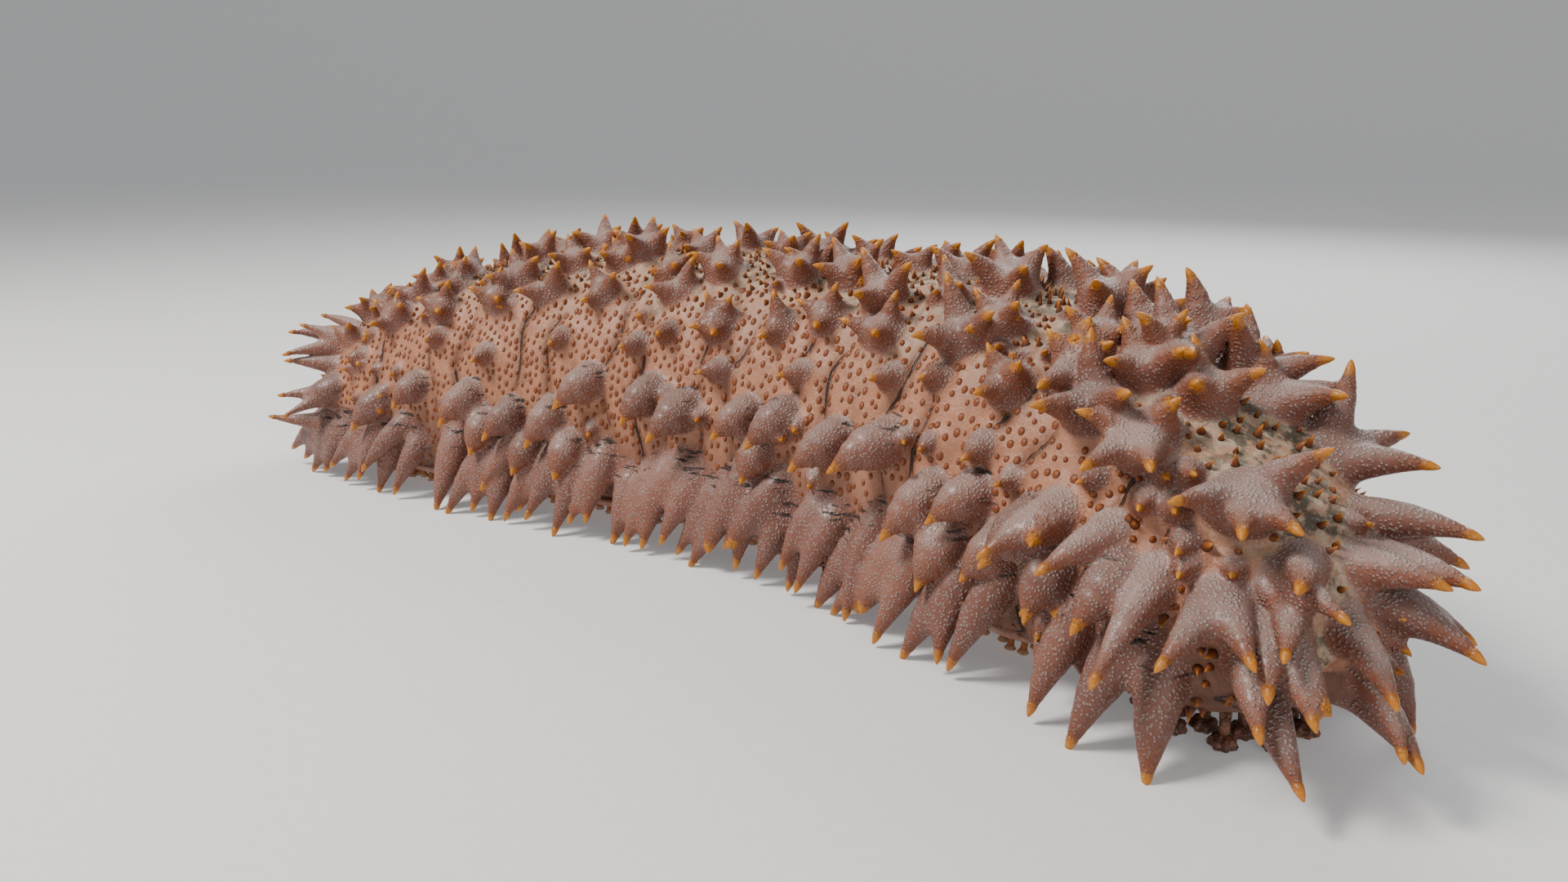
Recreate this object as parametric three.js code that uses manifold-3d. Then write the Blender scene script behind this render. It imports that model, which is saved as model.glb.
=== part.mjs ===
// A prickly redfish sea cucumber, life size, at rest on a flat floor.
// Its back and sides carry pointed, branching papillae, its flat sole carries tube feet, and its mouth
// faces down under the head end, inside a ring of feeding tentacles.
// Millimetres, +Z up. The body lies along X with its head towards +X, and its bend bulges towards +Y.
import * as THREE from "three";
import { mergeVertices } from "three/addons/utils/BufferGeometryUtils.js";
import Module from "manifold-3d";

const wasm = await Module();
wasm.setup();

// Body, as the skin runs between the papillae
const BODY_LENGTH = 448;
const HALF_WIDTH = 53;
const BACK_HEIGHT = 98;
const TAIL_HEADING = 25;
const HEAD_HEADING = -44;
const BEND_POWER = 1.7;
const TAIL_TAPER = { width: 0.43, height: 0.4, widthPower: 2.1, heightPower: 1.9 };
const HEAD_TAPER = { width: 0.4, height: 0.32, widthPower: 2.3, heightPower: 2.1 };
const TAIL_NOSE_HEIGHT = 24;
const HEAD_NOSE_HEIGHT = 28;
const BELLY_TAPER = 0.07;
const BACK_SQUARENESS = 2.15;
const BELLY_SQUARENESS = 4.2;
const PATH_STEPS = 500;
const ORIGIN_SHIFT = { x: -216.2, y: -49.5 };

// Lengths that the body is divided into, from the tail end to the head end
const CUTS = [0, 0.2, 0.41, 0.62, 0.82, 1];
const LENGTH_NAMES = ["tail_end", "body_rear", "body_middle", "body_front", "head_end"];
const GAP = 0.3;
const RINGS_PER_LENGTH = [11, 6, 6, 6, 11];
const RING_SIDES = 26;
const SMOOTHING = 0.36;
const PINCH_GAP = 0.05;

// Sole and tube feet
const BELLY_LEVEL = 8;
const SOLE_THICKNESS = 4;
const SOLE_INSET = 11;
const SOLE_CUTS = [0.07, 0.33, 0.6, 0.86];
const SOLE_NAMES = ["sole_rear", "sole_middle", "sole_front"];
const FOOT_RADIUS = 2.6;
const FOOT_BANDS = [-0.72, -0.1, 0.1, 0.72];
const FEET_PER_BAND = 4;
const FOOT_SIDES = 6;

// Mouth, with its ring of feeding tentacles
const MOUTH_STATION = 0.925;
const MOUTH_POCKET_RADIUS = 24;
const MOUTH_POCKET_TOP = 17;
const TENTACLE_COUNT = 14;
const VENT_RADIUS = 6;
const VENT_DEPTH = 14;

// Papillae: how deep a root is sunk in girths, how far out an arm bends, and how blunt its tip is
const SINK = 1.3;
const KNEE_SHARE = 0.34;
const TIP_RADIUS = 0.8;

const RIGHT = -1;
const LEFT = 1;
const radians = THREE.MathUtils.degToRad;
const mix = THREE.MathUtils.lerp;

// A seeded draw between two limits, the same in every run
function makeRandom(seed) {
  let state = seed;
  return (low, high) => {
    state = (state * 16807) % 2147483647;
    return low + ((high - low) * state) / 2147483647;
  };
}

// The centreline on the floor: its heading turns smoothly from the tail's to the head's
const path = [new THREE.Vector2(ORIGIN_SHIFT.x, ORIGIN_SHIFT.y)];
function heading(u) {
  return radians(mix(TAIL_HEADING, HEAD_HEADING, Math.pow(Math.min(Math.max(u, 0), 1), BEND_POWER)));
}
for (let step = 0; step < PATH_STEPS; step++) {
  const turn = heading((step + 0.5) / PATH_STEPS);
  const stride = BODY_LENGTH / PATH_STEPS;
  const last = path[step];
  path.push(new THREE.Vector2(last.x + stride * Math.cos(turn), last.y + stride * Math.sin(turn)));
}
function centre(u) {
  const place = Math.min(Math.max(u, 0), 1) * PATH_STEPS;
  const step = Math.min(Math.floor(place), PATH_STEPS - 1);
  const flat = path[step].clone().lerp(path[step + 1], place - step);
  return new THREE.Vector3(flat.x, flat.y, 0);
}
function forward(u) {
  return new THREE.Vector3(Math.cos(heading(u)), Math.sin(heading(u)), 0);
}
function leftward(u) {
  return new THREE.Vector3(-Math.sin(heading(u)), Math.cos(heading(u)), 0);
}

// Rises from 0 at an end of the body to 1 at the reach, like a quarter of a superellipse
function endTaper(distance, reach, power) {
  const x = Math.min(Math.max(distance / reach, 0), 1);
  return Math.pow(1 - Math.pow(1 - x, power), 1 / power);
}
function bothTapers(u, tailReach, tailPower, headReach, headPower) {
  return endTaper(u, tailReach, tailPower) * endTaper(1 - u, headReach, headPower);
}

// The skin: a rounded, nearly flat-bellied section at each station u, at an angle in degrees from the
// widest line, up over the back at 90 and down to the belly at -90. side is LEFT or RIGHT.
function skin(u, angle, side) {
  const noseHeight = mix(TAIL_NOSE_HEIGHT, HEAD_NOSE_HEIGHT, u);
  const width =
    HALF_WIDTH *
    bothTapers(u, TAIL_TAPER.width, TAIL_TAPER.widthPower, HEAD_TAPER.width, HEAD_TAPER.widthPower);
  const rise =
    (BACK_HEIGHT - noseHeight) *
    bothTapers(u, TAIL_TAPER.height, TAIL_TAPER.heightPower, HEAD_TAPER.height, HEAD_TAPER.heightPower);
  const drop = (noseHeight - BELLY_LEVEL) * bothTapers(u, BELLY_TAPER, 2, BELLY_TAPER, 2);
  const above = angle >= 0;
  const bulge = 2 / (above ? BACK_SQUARENESS : BELLY_SQUARENESS);
  const across = width * Math.pow(Math.abs(Math.cos(radians(angle))), bulge);
  const up = Math.pow(Math.abs(Math.sin(radians(angle))), bulge);
  return centre(u)
    .addScaledVector(leftward(u), side * across)
    .setZ(noseHeight + (above ? rise : -drop) * up);
}
function skinFrame(u, angle, side) {
  const root = skin(u, angle, side);
  const along = skin(Math.min(u + 0.004, 0.999), angle, side)
    .sub(skin(Math.max(u - 0.004, 0.001), angle, side))
    .normalize();
  const upward = skin(u, angle + 2, side)
    .sub(skin(u, angle - 2, side))
    .normalize();
  const out = new THREE.Vector3().crossVectors(along, upward).multiplyScalar(side).normalize();
  out.negate();
  if (out.dot(root.clone().sub(centre(u).setZ(root.z * 0.6))) < 0) out.negate();
  return { root, along, upward, out };
}

// Closed solids
function toSolid(vertices, triangles) {
  return new wasm.Manifold(
    new wasm.Mesh({
      numProp: 3,
      vertProperties: new Float32Array(vertices),
      triVerts: new Uint32Array(triangles),
    }),
  );
}
function geometryToSolid(geometry) {
  const bare = geometry.clone();
  bare.deleteAttribute("normal");
  bare.deleteAttribute("uv");
  const merged = mergeVertices(bare, 1e-4);
  return toSolid(merged.attributes.position.array, merged.index.array);
}
// Where two sheets of the surface share a point, each is drawn in by a hair, so that they stay apart
function partPinches(geometry) {
  const { position, normal } = geometry.attributes;
  const place = new THREE.Vector3();
  const inward = new THREE.Vector3();
  const seen = new Map();
  for (let i = 0; i < position.count; i++) {
    const key = place.fromBufferAttribute(position, i).toArray().map((x) => x.toFixed(3)).join();
    seen.set(key, [...(seen.get(key) ?? []), i]);
  }
  for (const shared of seen.values())
    if (shared.length > 1)
      for (const i of shared) {
        place.fromBufferAttribute(position, i);
        place.addScaledVector(inward.fromBufferAttribute(normal, i), -PINCH_GAP);
        position.setXYZ(i, place.x, place.y, place.z);
      }
}
function toMesh(solid, name, material) {
  const smooth = solid.asOriginal().simplify(SMOOTHING);
  const bodies = smooth.decompose().sort((a, b) => b.volume() - a.volume());
  const made = bodies[0].getMesh();
  const geometry = new THREE.BufferGeometry();
  geometry.setAttribute("position", new THREE.BufferAttribute(made.vertProperties, 3));
  geometry.setIndex(new THREE.BufferAttribute(made.triVerts, 1));
  geometry.computeVertexNormals();
  partPinches(geometry);
  const mesh = new THREE.Mesh(geometry, material);
  mesh.name = name;
  return mesh;
}

// Rings of points joined into a closed skin, each end closed by a fan or by a single tip point
function ringsToSolid(rings) {
  const sides = rings[0].length;
  const vertices = rings.flat().flatMap((p) => [p.x, p.y, p.z]);
  const triangles = [];
  for (let ring = 0; ring + 1 < rings.length; ring++)
    for (let i = 0; i < sides; i++) {
      const a = ring * sides + i;
      const b = ring * sides + ((i + 1) % sides);
      triangles.push(a, b, b + sides, a, b + sides, a + sides);
    }
  const middle = (points) =>
    points.reduce((sum, p) => sum.add(p), new THREE.Vector3()).divideScalar(points.length);
  for (const [ring, flip] of [
    [0, true],
    [rings.length - 1, false],
  ]) {
    const hub = middle(rings[ring]);
    const hubIndex = vertices.length / 3;
    vertices.push(hub.x, hub.y, hub.z);
    for (let i = 0; i < sides; i++) {
      const a = ring * sides + i;
      const b = ring * sides + ((i + 1) % sides);
      triangles.push(...(flip ? [b, a, hubIndex] : [a, b, hubIndex]));
    }
  }
  const solid = toSolid(vertices, triangles);
  if (solid.volume() >= 0) return solid;
  for (let i = 0; i < triangles.length; i += 3)
    [triangles[i + 1], triangles[i + 2]] = [triangles[i + 2], triangles[i + 1]];
  return toSolid(vertices, triangles);
}

// One length of the bare body between two stations, its rings closer together towards a rounded end
function bareLength(index) {
  const halfGap = GAP / 2 / BODY_LENGTH;
  const low = index === 0 ? 0.0015 : CUTS[index] + halfGap;
  const high = index === CUTS.length - 2 ? 0.9985 : CUTS[index + 1] - halfGap;
  const rings = [];
  for (let ring = 0; ring < RINGS_PER_LENGTH[index]; ring++) {
    const share = ring / (RINGS_PER_LENGTH[index] - 1);
    let eased = share;
    if (index === 0) eased = Math.pow(share, 2.2);
    if (index === CUTS.length - 2) eased = 1 - Math.pow(1 - share, 2.2);
    const u = mix(low, high, eased);
    const ringPoints = [];
    for (let i = 0; i < RING_SIDES; i++) {
      const turn = (360 * (i + 0.5)) / RING_SIDES - 90;
      const side = turn <= 90 ? RIGHT : LEFT;
      const angle = turn <= 90 ? turn : 180 - turn;
      ringPoints.push(skin(u, angle, side));
    }
    rings.push(ringPoints);
  }
  return ringsToSolid(rings);
}

// The cut planes at the ends of a length, as a point and an inward normal each
function cutPlanes(index) {
  const planes = [];
  if (index > 0) planes.push({ point: centre(CUTS[index]), normal: forward(CUTS[index]) });
  if (index < CUTS.length - 2)
    planes.push({ point: centre(CUTS[index + 1]), normal: forward(CUTS[index + 1]).negate() });
  return planes;
}
// Pushes a point back into its own length of body, and up from the floor, so that it stays a margin clear
function keepClear(point, planes, margin, floorMargin) {
  for (const plane of planes) {
    const depth = point.clone().sub(plane.point).dot(plane.normal);
    const needed = margin + GAP;
    if (depth < needed) point.addScaledVector(plane.normal, needed - depth);
  }
  point.z = Math.max(point.z, floorMargin);
  return point;
}

// Papillae: each is a group of arms that share a root on the skin. An arm is a bent, tapering cone given
// by three guide points and three radii. turn is its direction over the skin in degrees: 0 towards the
// head, 90 up the flank, 180 towards the tail and -90 down the flank. lift is its angle off the skin.
const arms = [];
function addArm({ u, angle, side, turn, lift, length, stalk, girth, bulb, curl, sides }) {
  const { root, along, upward, out } = skinFrame(u, angle, side);
  const index = Math.max(0, CUTS.findIndex((cut) => u < cut) - 1);
  const planes = cutPlanes(index);
  const flat = Math.cos(radians(lift));
  const aim = along
    .clone()
    .multiplyScalar(flat * Math.cos(radians(turn)))
    .addScaledVector(upward, flat * Math.sin(radians(turn)))
    .addScaledVector(out, Math.sin(radians(lift)))
    .normalize();
  const top = root.clone().addScaledVector(out, stalk);
  const sunk = root.clone().addScaledVector(out, -girth * SINK);
  const knee = top.clone().addScaledVector(aim, length * KNEE_SHARE);
  const tip = top.clone().addScaledVector(aim, length);
  tip.z += curl * length;
  keepClear(sunk, planes, girth, BELLY_LEVEL + 6);
  keepClear(knee, planes, girth, girth * 0.9);
  keepClear(tip, planes, 1.5, 0.2);
  arms.push({ index, points: [sunk, knee, tip], radii: [girth, girth * bulb, TIP_RADIUS], sides });
}

// How far a station leans out towards the nearer end of the body, from -1 at the tail to 1 at the head
function endLean(u) {
  if (u < 0.16) return -Math.pow((0.16 - u) / 0.16, 0.8);
  if (u > 0.86) return Math.pow((u - 0.86) / 0.14, 0.8);
  return 0;
}
// Papillae are a little smaller at the tail than over the middle, and largest round the head
const TAIL_SIZE = 0.9;
const HEAD_SIZE = 1.45;
function sizeAt(u) {
  return u < 0.5 ? mix(TAIL_SIZE, 1, u / 0.5) : mix(1, HEAD_SIZE, Math.pow((u - 0.5) / 0.5, 1.7));
}

// The fringe along the edge of the sole: broad hands that hang to the floor, with two to four fingers
// over the rear and middle, and one or two long fingers round the head
const HANDS = 19;
const FINGER_LENGTH = 29;
const FINGER_GIRTH = 5.7;
const FINGER_SPACING = 3.9;
function lowFringe(side, seed) {
  const random = makeRandom(seed);
  for (let i = 0; i < HANDS; i++) {
    const u = mix(0.045, 0.975, (i + 0.5) / HANDS) + random(-0.007, 0.007);
    const size = sizeAt(u) * random(0.88, 1.12);
    const nearHead = u > 0.83;
    const fingers = Math.round(nearHead ? random(0.8, 2.2) : random(1.7, 4.3));
    const sweep = endLean(u) * 34 - (nearHead ? 14 : 22) + random(-8, 8);
    for (let finger = 0; finger < fingers; finger++) {
      const fan = fingers > 1 ? finger / (fingers - 1) - 0.5 : 0;
      addArm({
        u: u + (fan * fingers * FINGER_SPACING) / BODY_LENGTH,
        angle: random(0, 9),
        side,
        turn: -90 + sweep + fan * 7 * fingers + random(-4, 4),
        lift: random(6, 18),
        length: FINGER_LENGTH * Math.sqrt(size) * random(0.88, 1.08),
        stalk: 2.4,
        girth: FINGER_GIRTH * Math.sqrt(size),
        bulb: 0.98,
        curl: -0.1,
        sides: 5,
      });
    }
  }
}

// The row above the fringe: swollen drops, sometimes paired, that point down and tailwards
const DROPS = 17;
const DROP_LENGTH = 15;
const DROP_GIRTH = 5.8;
function highFringe(side, seed) {
  const random = makeRandom(seed);
  for (let i = 0; i < DROPS; i++) {
    const u = mix(0.04, 0.95, (i + 0.5) / DROPS) + random(-0.01, 0.01);
    const size = sizeAt(u) * random(0.8, 1.12);
    const twins = random(0, 1) > 0.6 ? 2 : 1;
    const sweep = endLean(u) * 40 - 28 + random(-10, 10);
    const height = 19 + random(-6, 7);
    for (let twin = 0; twin < twins; twin++)
      addArm({
        u: u + twin * 0.018,
        angle: height - twin * 9,
        side,
        turn: -90 + sweep + twin * 24,
        lift: random(22, 36),
        length: DROP_LENGTH * size * (twin ? 0.84 : 1),
        stalk: 3,
        girth: DROP_GIRTH * Math.sqrt(size),
        bulb: 1.12,
        curl: -0.16,
        sides: 5,
      });
  }
}

// Branching stars in rows over the back, from one shoulder to the other
const STAR_ROWS = [
  { side: RIGHT, angle: 51, count: 14, shift: 0 },
  { side: RIGHT, angle: 67, count: 15, shift: 0.5 },
  { side: RIGHT, angle: 82, count: 14, shift: 0.1 },
  { side: LEFT, angle: 80, count: 14, shift: 0.6 },
  { side: LEFT, angle: 65, count: 15, shift: 0.2 },
  { side: LEFT, angle: 50, count: 14, shift: 0.7 },
];
const STAR_ARM = { length: 11, stalk: 4, girth: 4.9 };
function backStars(seed) {
  const random = makeRandom(seed);
  for (const row of STAR_ROWS)
    for (let i = 0; i < row.count; i++) {
      const u = mix(0.06, 0.9, (i + 0.3 + 0.5 * row.shift) / row.count) + random(-0.012, 0.012);
      const angle = row.angle + random(-6, 6);
      const size = sizeAt(u) * random(0.76, 1.16);
      const count = Math.round(random(1.8, 4.3));
      const first = random(0, 360);
      for (let arm = 0; arm < count; arm++)
        addArm({
          u,
          angle,
          side: row.side,
          turn: first + (360 * arm) / count + random(-18, 18),
          lift: random(18, 38),
          length: STAR_ARM.length * size * random(0.86, 1.18),
          stalk: STAR_ARM.stalk * size,
          girth: STAR_ARM.girth * Math.sqrt(size),
          bulb: 0.88,
          curl: 0.08,
          sides: 4,
        });
    }
}

// The large stars on and round the head, each set by hand: its place, its lift, and the direction and
// length of each arm
const HEAD_STARS = [
  { u: 0.955, angle: 68, side: RIGHT, lift: 32, spread: [[-95, 23], [72, 19], [0, 20], [-42, 19]] },
  { u: 0.9, angle: 56, side: RIGHT, lift: 30, spread: [[-140, 15], [-82, 22], [-30, 20], [60, 11]] },
  { u: 0.835, angle: 60, side: RIGHT, lift: 28, spread: [[-72, 17], [178, 12], [35, 12], [100, 11]] },
  { u: 0.9, angle: 80, side: RIGHT, lift: 38, spread: [[170, 12], [40, 14], [-60, 11]] },
  { u: 0.84, angle: 86, side: RIGHT, lift: 30, spread: [[175, 14], [-5, 15], [90, 11]] },
  { u: 0.905, angle: 76, side: LEFT, lift: 34, spread: [[-10, 17], [-60, 16], [150, 12]] },
  { u: 0.93, angle: 58, side: LEFT, lift: 42, spread: [[150, 20], [-30, 20], [-110, 17]] },
  { u: 0.955, angle: 52, side: LEFT, lift: 46, spread: [[-40, 22]] },
  { u: 0.945, angle: 34, side: LEFT, lift: 40, spread: [[-75, 21], [10, 16]] },
  { u: 0.972, angle: 48, side: LEFT, lift: 48, spread: [[-10, 21]] },
  { u: 0.978, angle: 28, side: LEFT, lift: 45, spread: [[-30, 21], [-80, 17]] },
  { u: 0.975, angle: 30, side: RIGHT, lift: 36, spread: [[-98, 22], [-20, 19]] },
  { u: 0.99, angle: 40, side: RIGHT, lift: 40, spread: [[-60, 19]] },
  { u: 0.945, angle: 26, side: RIGHT, lift: 24, spread: [[-84, 31]] },
  { u: 0.915, angle: 28, side: RIGHT, lift: 32, spread: [[-110, 20]] },
  { u: 0.875, angle: 24, side: RIGHT, lift: 34, spread: [[-112, 21], [-75, 11]] },
];
function headStars() {
  for (const { u, angle, side, lift, spread } of HEAD_STARS)
    for (const [turn, length] of spread)
      addArm({ u, angle, side, turn, lift, length, stalk: 4.5, girth: 5.6, bulb: 0.88, curl: -0.02, sides: 5 });
}

// Single papillae scattered over the bare flank
const FLANK_PAPILLAE = 11;
function flankPapillae(side, seed) {
  const random = makeRandom(seed);
  for (let i = 0; i < FLANK_PAPILLAE; i++)
    addArm({
      u: mix(0.08, 0.86, (i + 0.5) / FLANK_PAPILLAE) + random(-0.025, 0.025),
      angle: random(30, 44),
      side,
      turn: random(-150, -70),
      lift: random(38, 60),
      length: random(6, 9),
      stalk: 1.6,
      girth: 3.8,
      bulb: 1,
      curl: -0.05,
      sides: 4,
    });
}

// The crown round each end: pointed arms that radiate from the end of the body
const TAIL_CROWN = { u: 0.05, seed: 7307, count: 10, lowest: -12, length: 21, girth: 4, towards: 180 };
const NOSE_CROWN = { u: 0.988, seed: 6301, count: 9, lowest: -30, length: 19, girth: 5.2, towards: -50 };
function endCrown({ u, seed, count, lowest, length, girth, towards }) {
  const random = makeRandom(seed);
  for (let i = 0; i < count; i++) {
    const around = mix(lowest, 180 - lowest, (i + 0.5) / count);
    const pair = random(0, 1) > 0.55 ? 2 : 1;
    for (let arm = 0; arm < pair; arm++)
      addArm({
        u: u + random(-0.008, 0.008),
        angle: Math.min(around <= 90 ? around : 180 - around, 86),
        side: around <= 90 ? RIGHT : LEFT,
        turn: towards + arm * 42 + random(-20, 20),
        lift: random(32, 52),
        length: length * random(0.8, 1.15),
        stalk: 3.6,
        girth: girth * random(0.9, 1.08),
        bulb: 0.88,
        curl: -0.03,
        sides: 5,
      });
  }
}

for (const side of [RIGHT, LEFT]) {
  lowFringe(side, 1201 + side);
  highFringe(side, 2377 + side);
  flankPapillae(side, 3457 + side);
}
backStars(4409);
headStars();
endCrown(TAIL_CROWN);
endCrown(NOSE_CROWN);

// An arm as a closed cone along its bent path
function armSolid({ points, radii, sides }) {
  const curve = new THREE.QuadraticBezierCurve3(...points);
  const stations = [0, 0.5];
  const rings = stations.map((t) => {
    const ahead = curve.getTangent(t);
    const across = new THREE.Vector3().crossVectors(ahead, new THREE.Vector3(0.3, 0.2, 1)).normalize();
    const over = new THREE.Vector3().crossVectors(ahead, across).normalize();
    const here = curve.getPoint(t);
    const radius = t < 0.5 ? mix(radii[0], radii[1], t / 0.5) : mix(radii[1], radii[2], (t - 0.5) / 0.5);
    return Array.from({ length: sides }, (_, i) => {
      const turn = (2 * Math.PI * i) / sides;
      return here
        .clone()
        .addScaledVector(across, radius * Math.cos(turn))
        .addScaledVector(over, radius * Math.sin(turn));
    });
  });
  const vertices = rings.flat();
  const tipIndex = vertices.push(points[2]) - 1;
  const triangles = [];
  for (let ring = 0; ring + 1 < rings.length; ring++)
    for (let i = 0; i < sides; i++) {
      const a = ring * sides + i;
      const b = ring * sides + ((i + 1) % sides);
      triangles.push(a, b, b + sides, a, b + sides, a + sides);
    }
  for (let i = 0; i < sides; i++) {
    const last = (rings.length - 1) * sides;
    triangles.push(last + i, last + ((i + 1) % sides), tipIndex);
  }
  for (let i = 1; i + 1 < sides; i++) triangles.push(0, i + 1, i);
  const flat = vertices.flatMap((p) => [p.x, p.y, p.z]);
  const solid = toSolid(flat, triangles);
  if (solid.volume() >= 0) return solid;
  for (let i = 0; i < triangles.length; i += 3)
    [triangles[i + 1], triangles[i + 2]] = [triangles[i + 2], triangles[i + 1]];
  return toSolid(flat, triangles);
}

// The mouth's pocket in the underside of the head, and the vent in the end of the tail
function uprightCylinder(radius, low, high, sides, at) {
  const geometry = new THREE.CylinderGeometry(radius, radius, high - low, sides);
  geometry.rotateX(Math.PI / 2);
  geometry.translate(at.x, at.y, (low + high) / 2);
  return geometryToSolid(geometry);
}
const mouthAt = centre(MOUTH_STATION);
const mouthPocket = uprightCylinder(MOUTH_POCKET_RADIUS, -5, MOUTH_POCKET_TOP, 20, mouthAt);
const ventGeometry = new THREE.ConeGeometry(VENT_RADIUS, VENT_DEPTH * 2, 10);
ventGeometry.rotateZ(-Math.PI / 2);
ventGeometry.rotateZ(heading(0));
ventGeometry.translate(centre(0).x, centre(0).y, TAIL_NOSE_HEIGHT);
const vent = geometryToSolid(ventGeometry);

// The sole: one flat strip under each part of the body, with its tube feet in bands
function soleHalfWidth(u) {
  return (
    HALF_WIDTH *
      bothTapers(u, TAIL_TAPER.width, TAIL_TAPER.widthPower, HEAD_TAPER.width, HEAD_TAPER.widthPower) -
    SOLE_INSET
  );
}
const SOLE_TOP = BELLY_LEVEL - GAP;
const SOLE_UNDERSIDE = SOLE_TOP - SOLE_THICKNESS;
function soleStrip(index) {
  const low = SOLE_CUTS[index] + GAP / 2 / BODY_LENGTH;
  const high = SOLE_CUTS[index + 1] - GAP / 2 / BODY_LENGTH;
  const rings = [];
  for (let ring = 0; ring < 8; ring++) {
    const u = mix(low, high, ring / 7);
    const half = soleHalfWidth(u);
    const outline = [
      [-half, SOLE_TOP],
      [-half, SOLE_TOP - 1.5],
      [-half + 4, SOLE_UNDERSIDE],
      [half - 4, SOLE_UNDERSIDE],
      [half, SOLE_TOP - 1.5],
      [half, SOLE_TOP],
    ];
    rings.push(outline.map(([across, z]) => centre(u).addScaledVector(leftward(u), across).setZ(z)));
  }
  return ringsToSolid(rings);
}
function tubeFoot(at) {
  const shape = [
    [0, 0],
    [FOOT_RADIUS, 0],
    [FOOT_RADIUS * 0.7, SOLE_UNDERSIDE + 1.2],
    [0, SOLE_UNDERSIDE + 1.2],
  ].map(([radius, z]) => new THREE.Vector2(radius, z));
  const geometry = new THREE.LatheGeometry(shape, FOOT_SIDES);
  geometry.rotateX(Math.PI / 2);
  geometry.translate(at.x, at.y, 0);
  return geometryToSolid(geometry);
}
function soleSolid(index) {
  const pieces = [soleStrip(index)];
  for (const band of FOOT_BANDS)
    for (let i = 0; i < FEET_PER_BAND; i++) {
      const u = mix(SOLE_CUTS[index], SOLE_CUTS[index + 1], (i + 0.5) / FEET_PER_BAND);
      pieces.push(tubeFoot(centre(u).addScaledVector(leftward(u), band * soleHalfWidth(u))));
    }
  return wasm.Manifold.union(pieces);
}

// The mouth: a round disc with a dimple, and tentacles that end in a shield which rests on the floor
function mouthSolid() {
  const disc = new THREE.LatheGeometry(
    [
      [0, 8.5],
      [4, 7],
      [11, 7],
      [14, 9.5],
      [14, MOUTH_POCKET_TOP - GAP],
      [0, MOUTH_POCKET_TOP - GAP],
    ].map(([radius, z]) => new THREE.Vector2(radius, z)),
    18,
  );
  disc.rotateX(Math.PI / 2);
  disc.translate(mouthAt.x, mouthAt.y, 0);
  const pieces = [geometryToSolid(disc)];
  for (let i = 0; i < TENTACLE_COUNT; i++) {
    const turn = (2 * Math.PI * i) / TENTACLE_COUNT;
    const outer = i % 2 === 0;
    const reach = outer ? 20.5 : 14.5;
    const low = outer ? 0 : 1.2;
    const way = new THREE.Vector3(Math.cos(turn), Math.sin(turn), 0);
    const place = (radius, z) => mouthAt.clone().addScaledVector(way, radius).setZ(z);
    const stations = [
      { at: place(11, 11.5), radius: 1.9 },
      { at: place(reach, 7), radius: 1.7 },
      { at: place(reach, 3), radius: 2.9 },
      { at: place(reach, low), radius: 2.3 },
    ];
    const rings = stations.map(({ at, radius }) =>
      Array.from({ length: 6 }, (_, k) => {
        const spin = (2 * Math.PI * k) / 6;
        return at.clone().add(new THREE.Vector3(radius * Math.cos(spin), radius * Math.sin(spin), 0));
      }),
    );
    pieces.push(ringsToSolid(rings));
  }
  return wasm.Manifold.union(pieces);
}

// Materials
const skinMaterial = new THREE.MeshStandardMaterial({ color: 0xc0836a, roughness: 0.62, metalness: 0 });
const soleMaterial = new THREE.MeshStandardMaterial({ color: 0xc98a78, roughness: 0.7, metalness: 0 });
const mouthMaterial = new THREE.MeshStandardMaterial({ color: 0x6b4334, roughness: 0.55, metalness: 0 });

// The animal
const animal = new THREE.Group();
LENGTH_NAMES.forEach((name, index) => {
  let bare = bareLength(index);
  if (name === "tail_end") bare = bare.subtract(vent);
  const grown = arms.filter((arm) => arm.index === index).map(armSolid);
  let whole = wasm.Manifold.union([bare, ...grown]);
  if (name === "head_end") whole = whole.subtract(mouthPocket);
  whole = whole.trimByPlane([0, 0, 1], 0);
  for (const { point, normal } of cutPlanes(index))
    whole = whole.trimByPlane(normal.toArray(), normal.dot(point) + GAP / 2);
  animal.add(toMesh(whole, name, skinMaterial));
});
SOLE_NAMES.forEach((name, index) => animal.add(toMesh(soleSolid(index), name, soleMaterial)));
animal.add(toMesh(mouthSolid(), "mouth_tentacles", mouthMaterial));

export default animal;
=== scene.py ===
"""A prickly redfish sea cucumber, life size, at rest on a pale floor.

The whole animal is one skin, fused from a bent body and some hundreds of papillae: each is a shape with a
signed distance, the shapes are blended where they meet, and the surface where the blend is zero becomes the
mesh. Lengths are in millimetres until a mesh is written, in metres, by write_mesh."""

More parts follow.
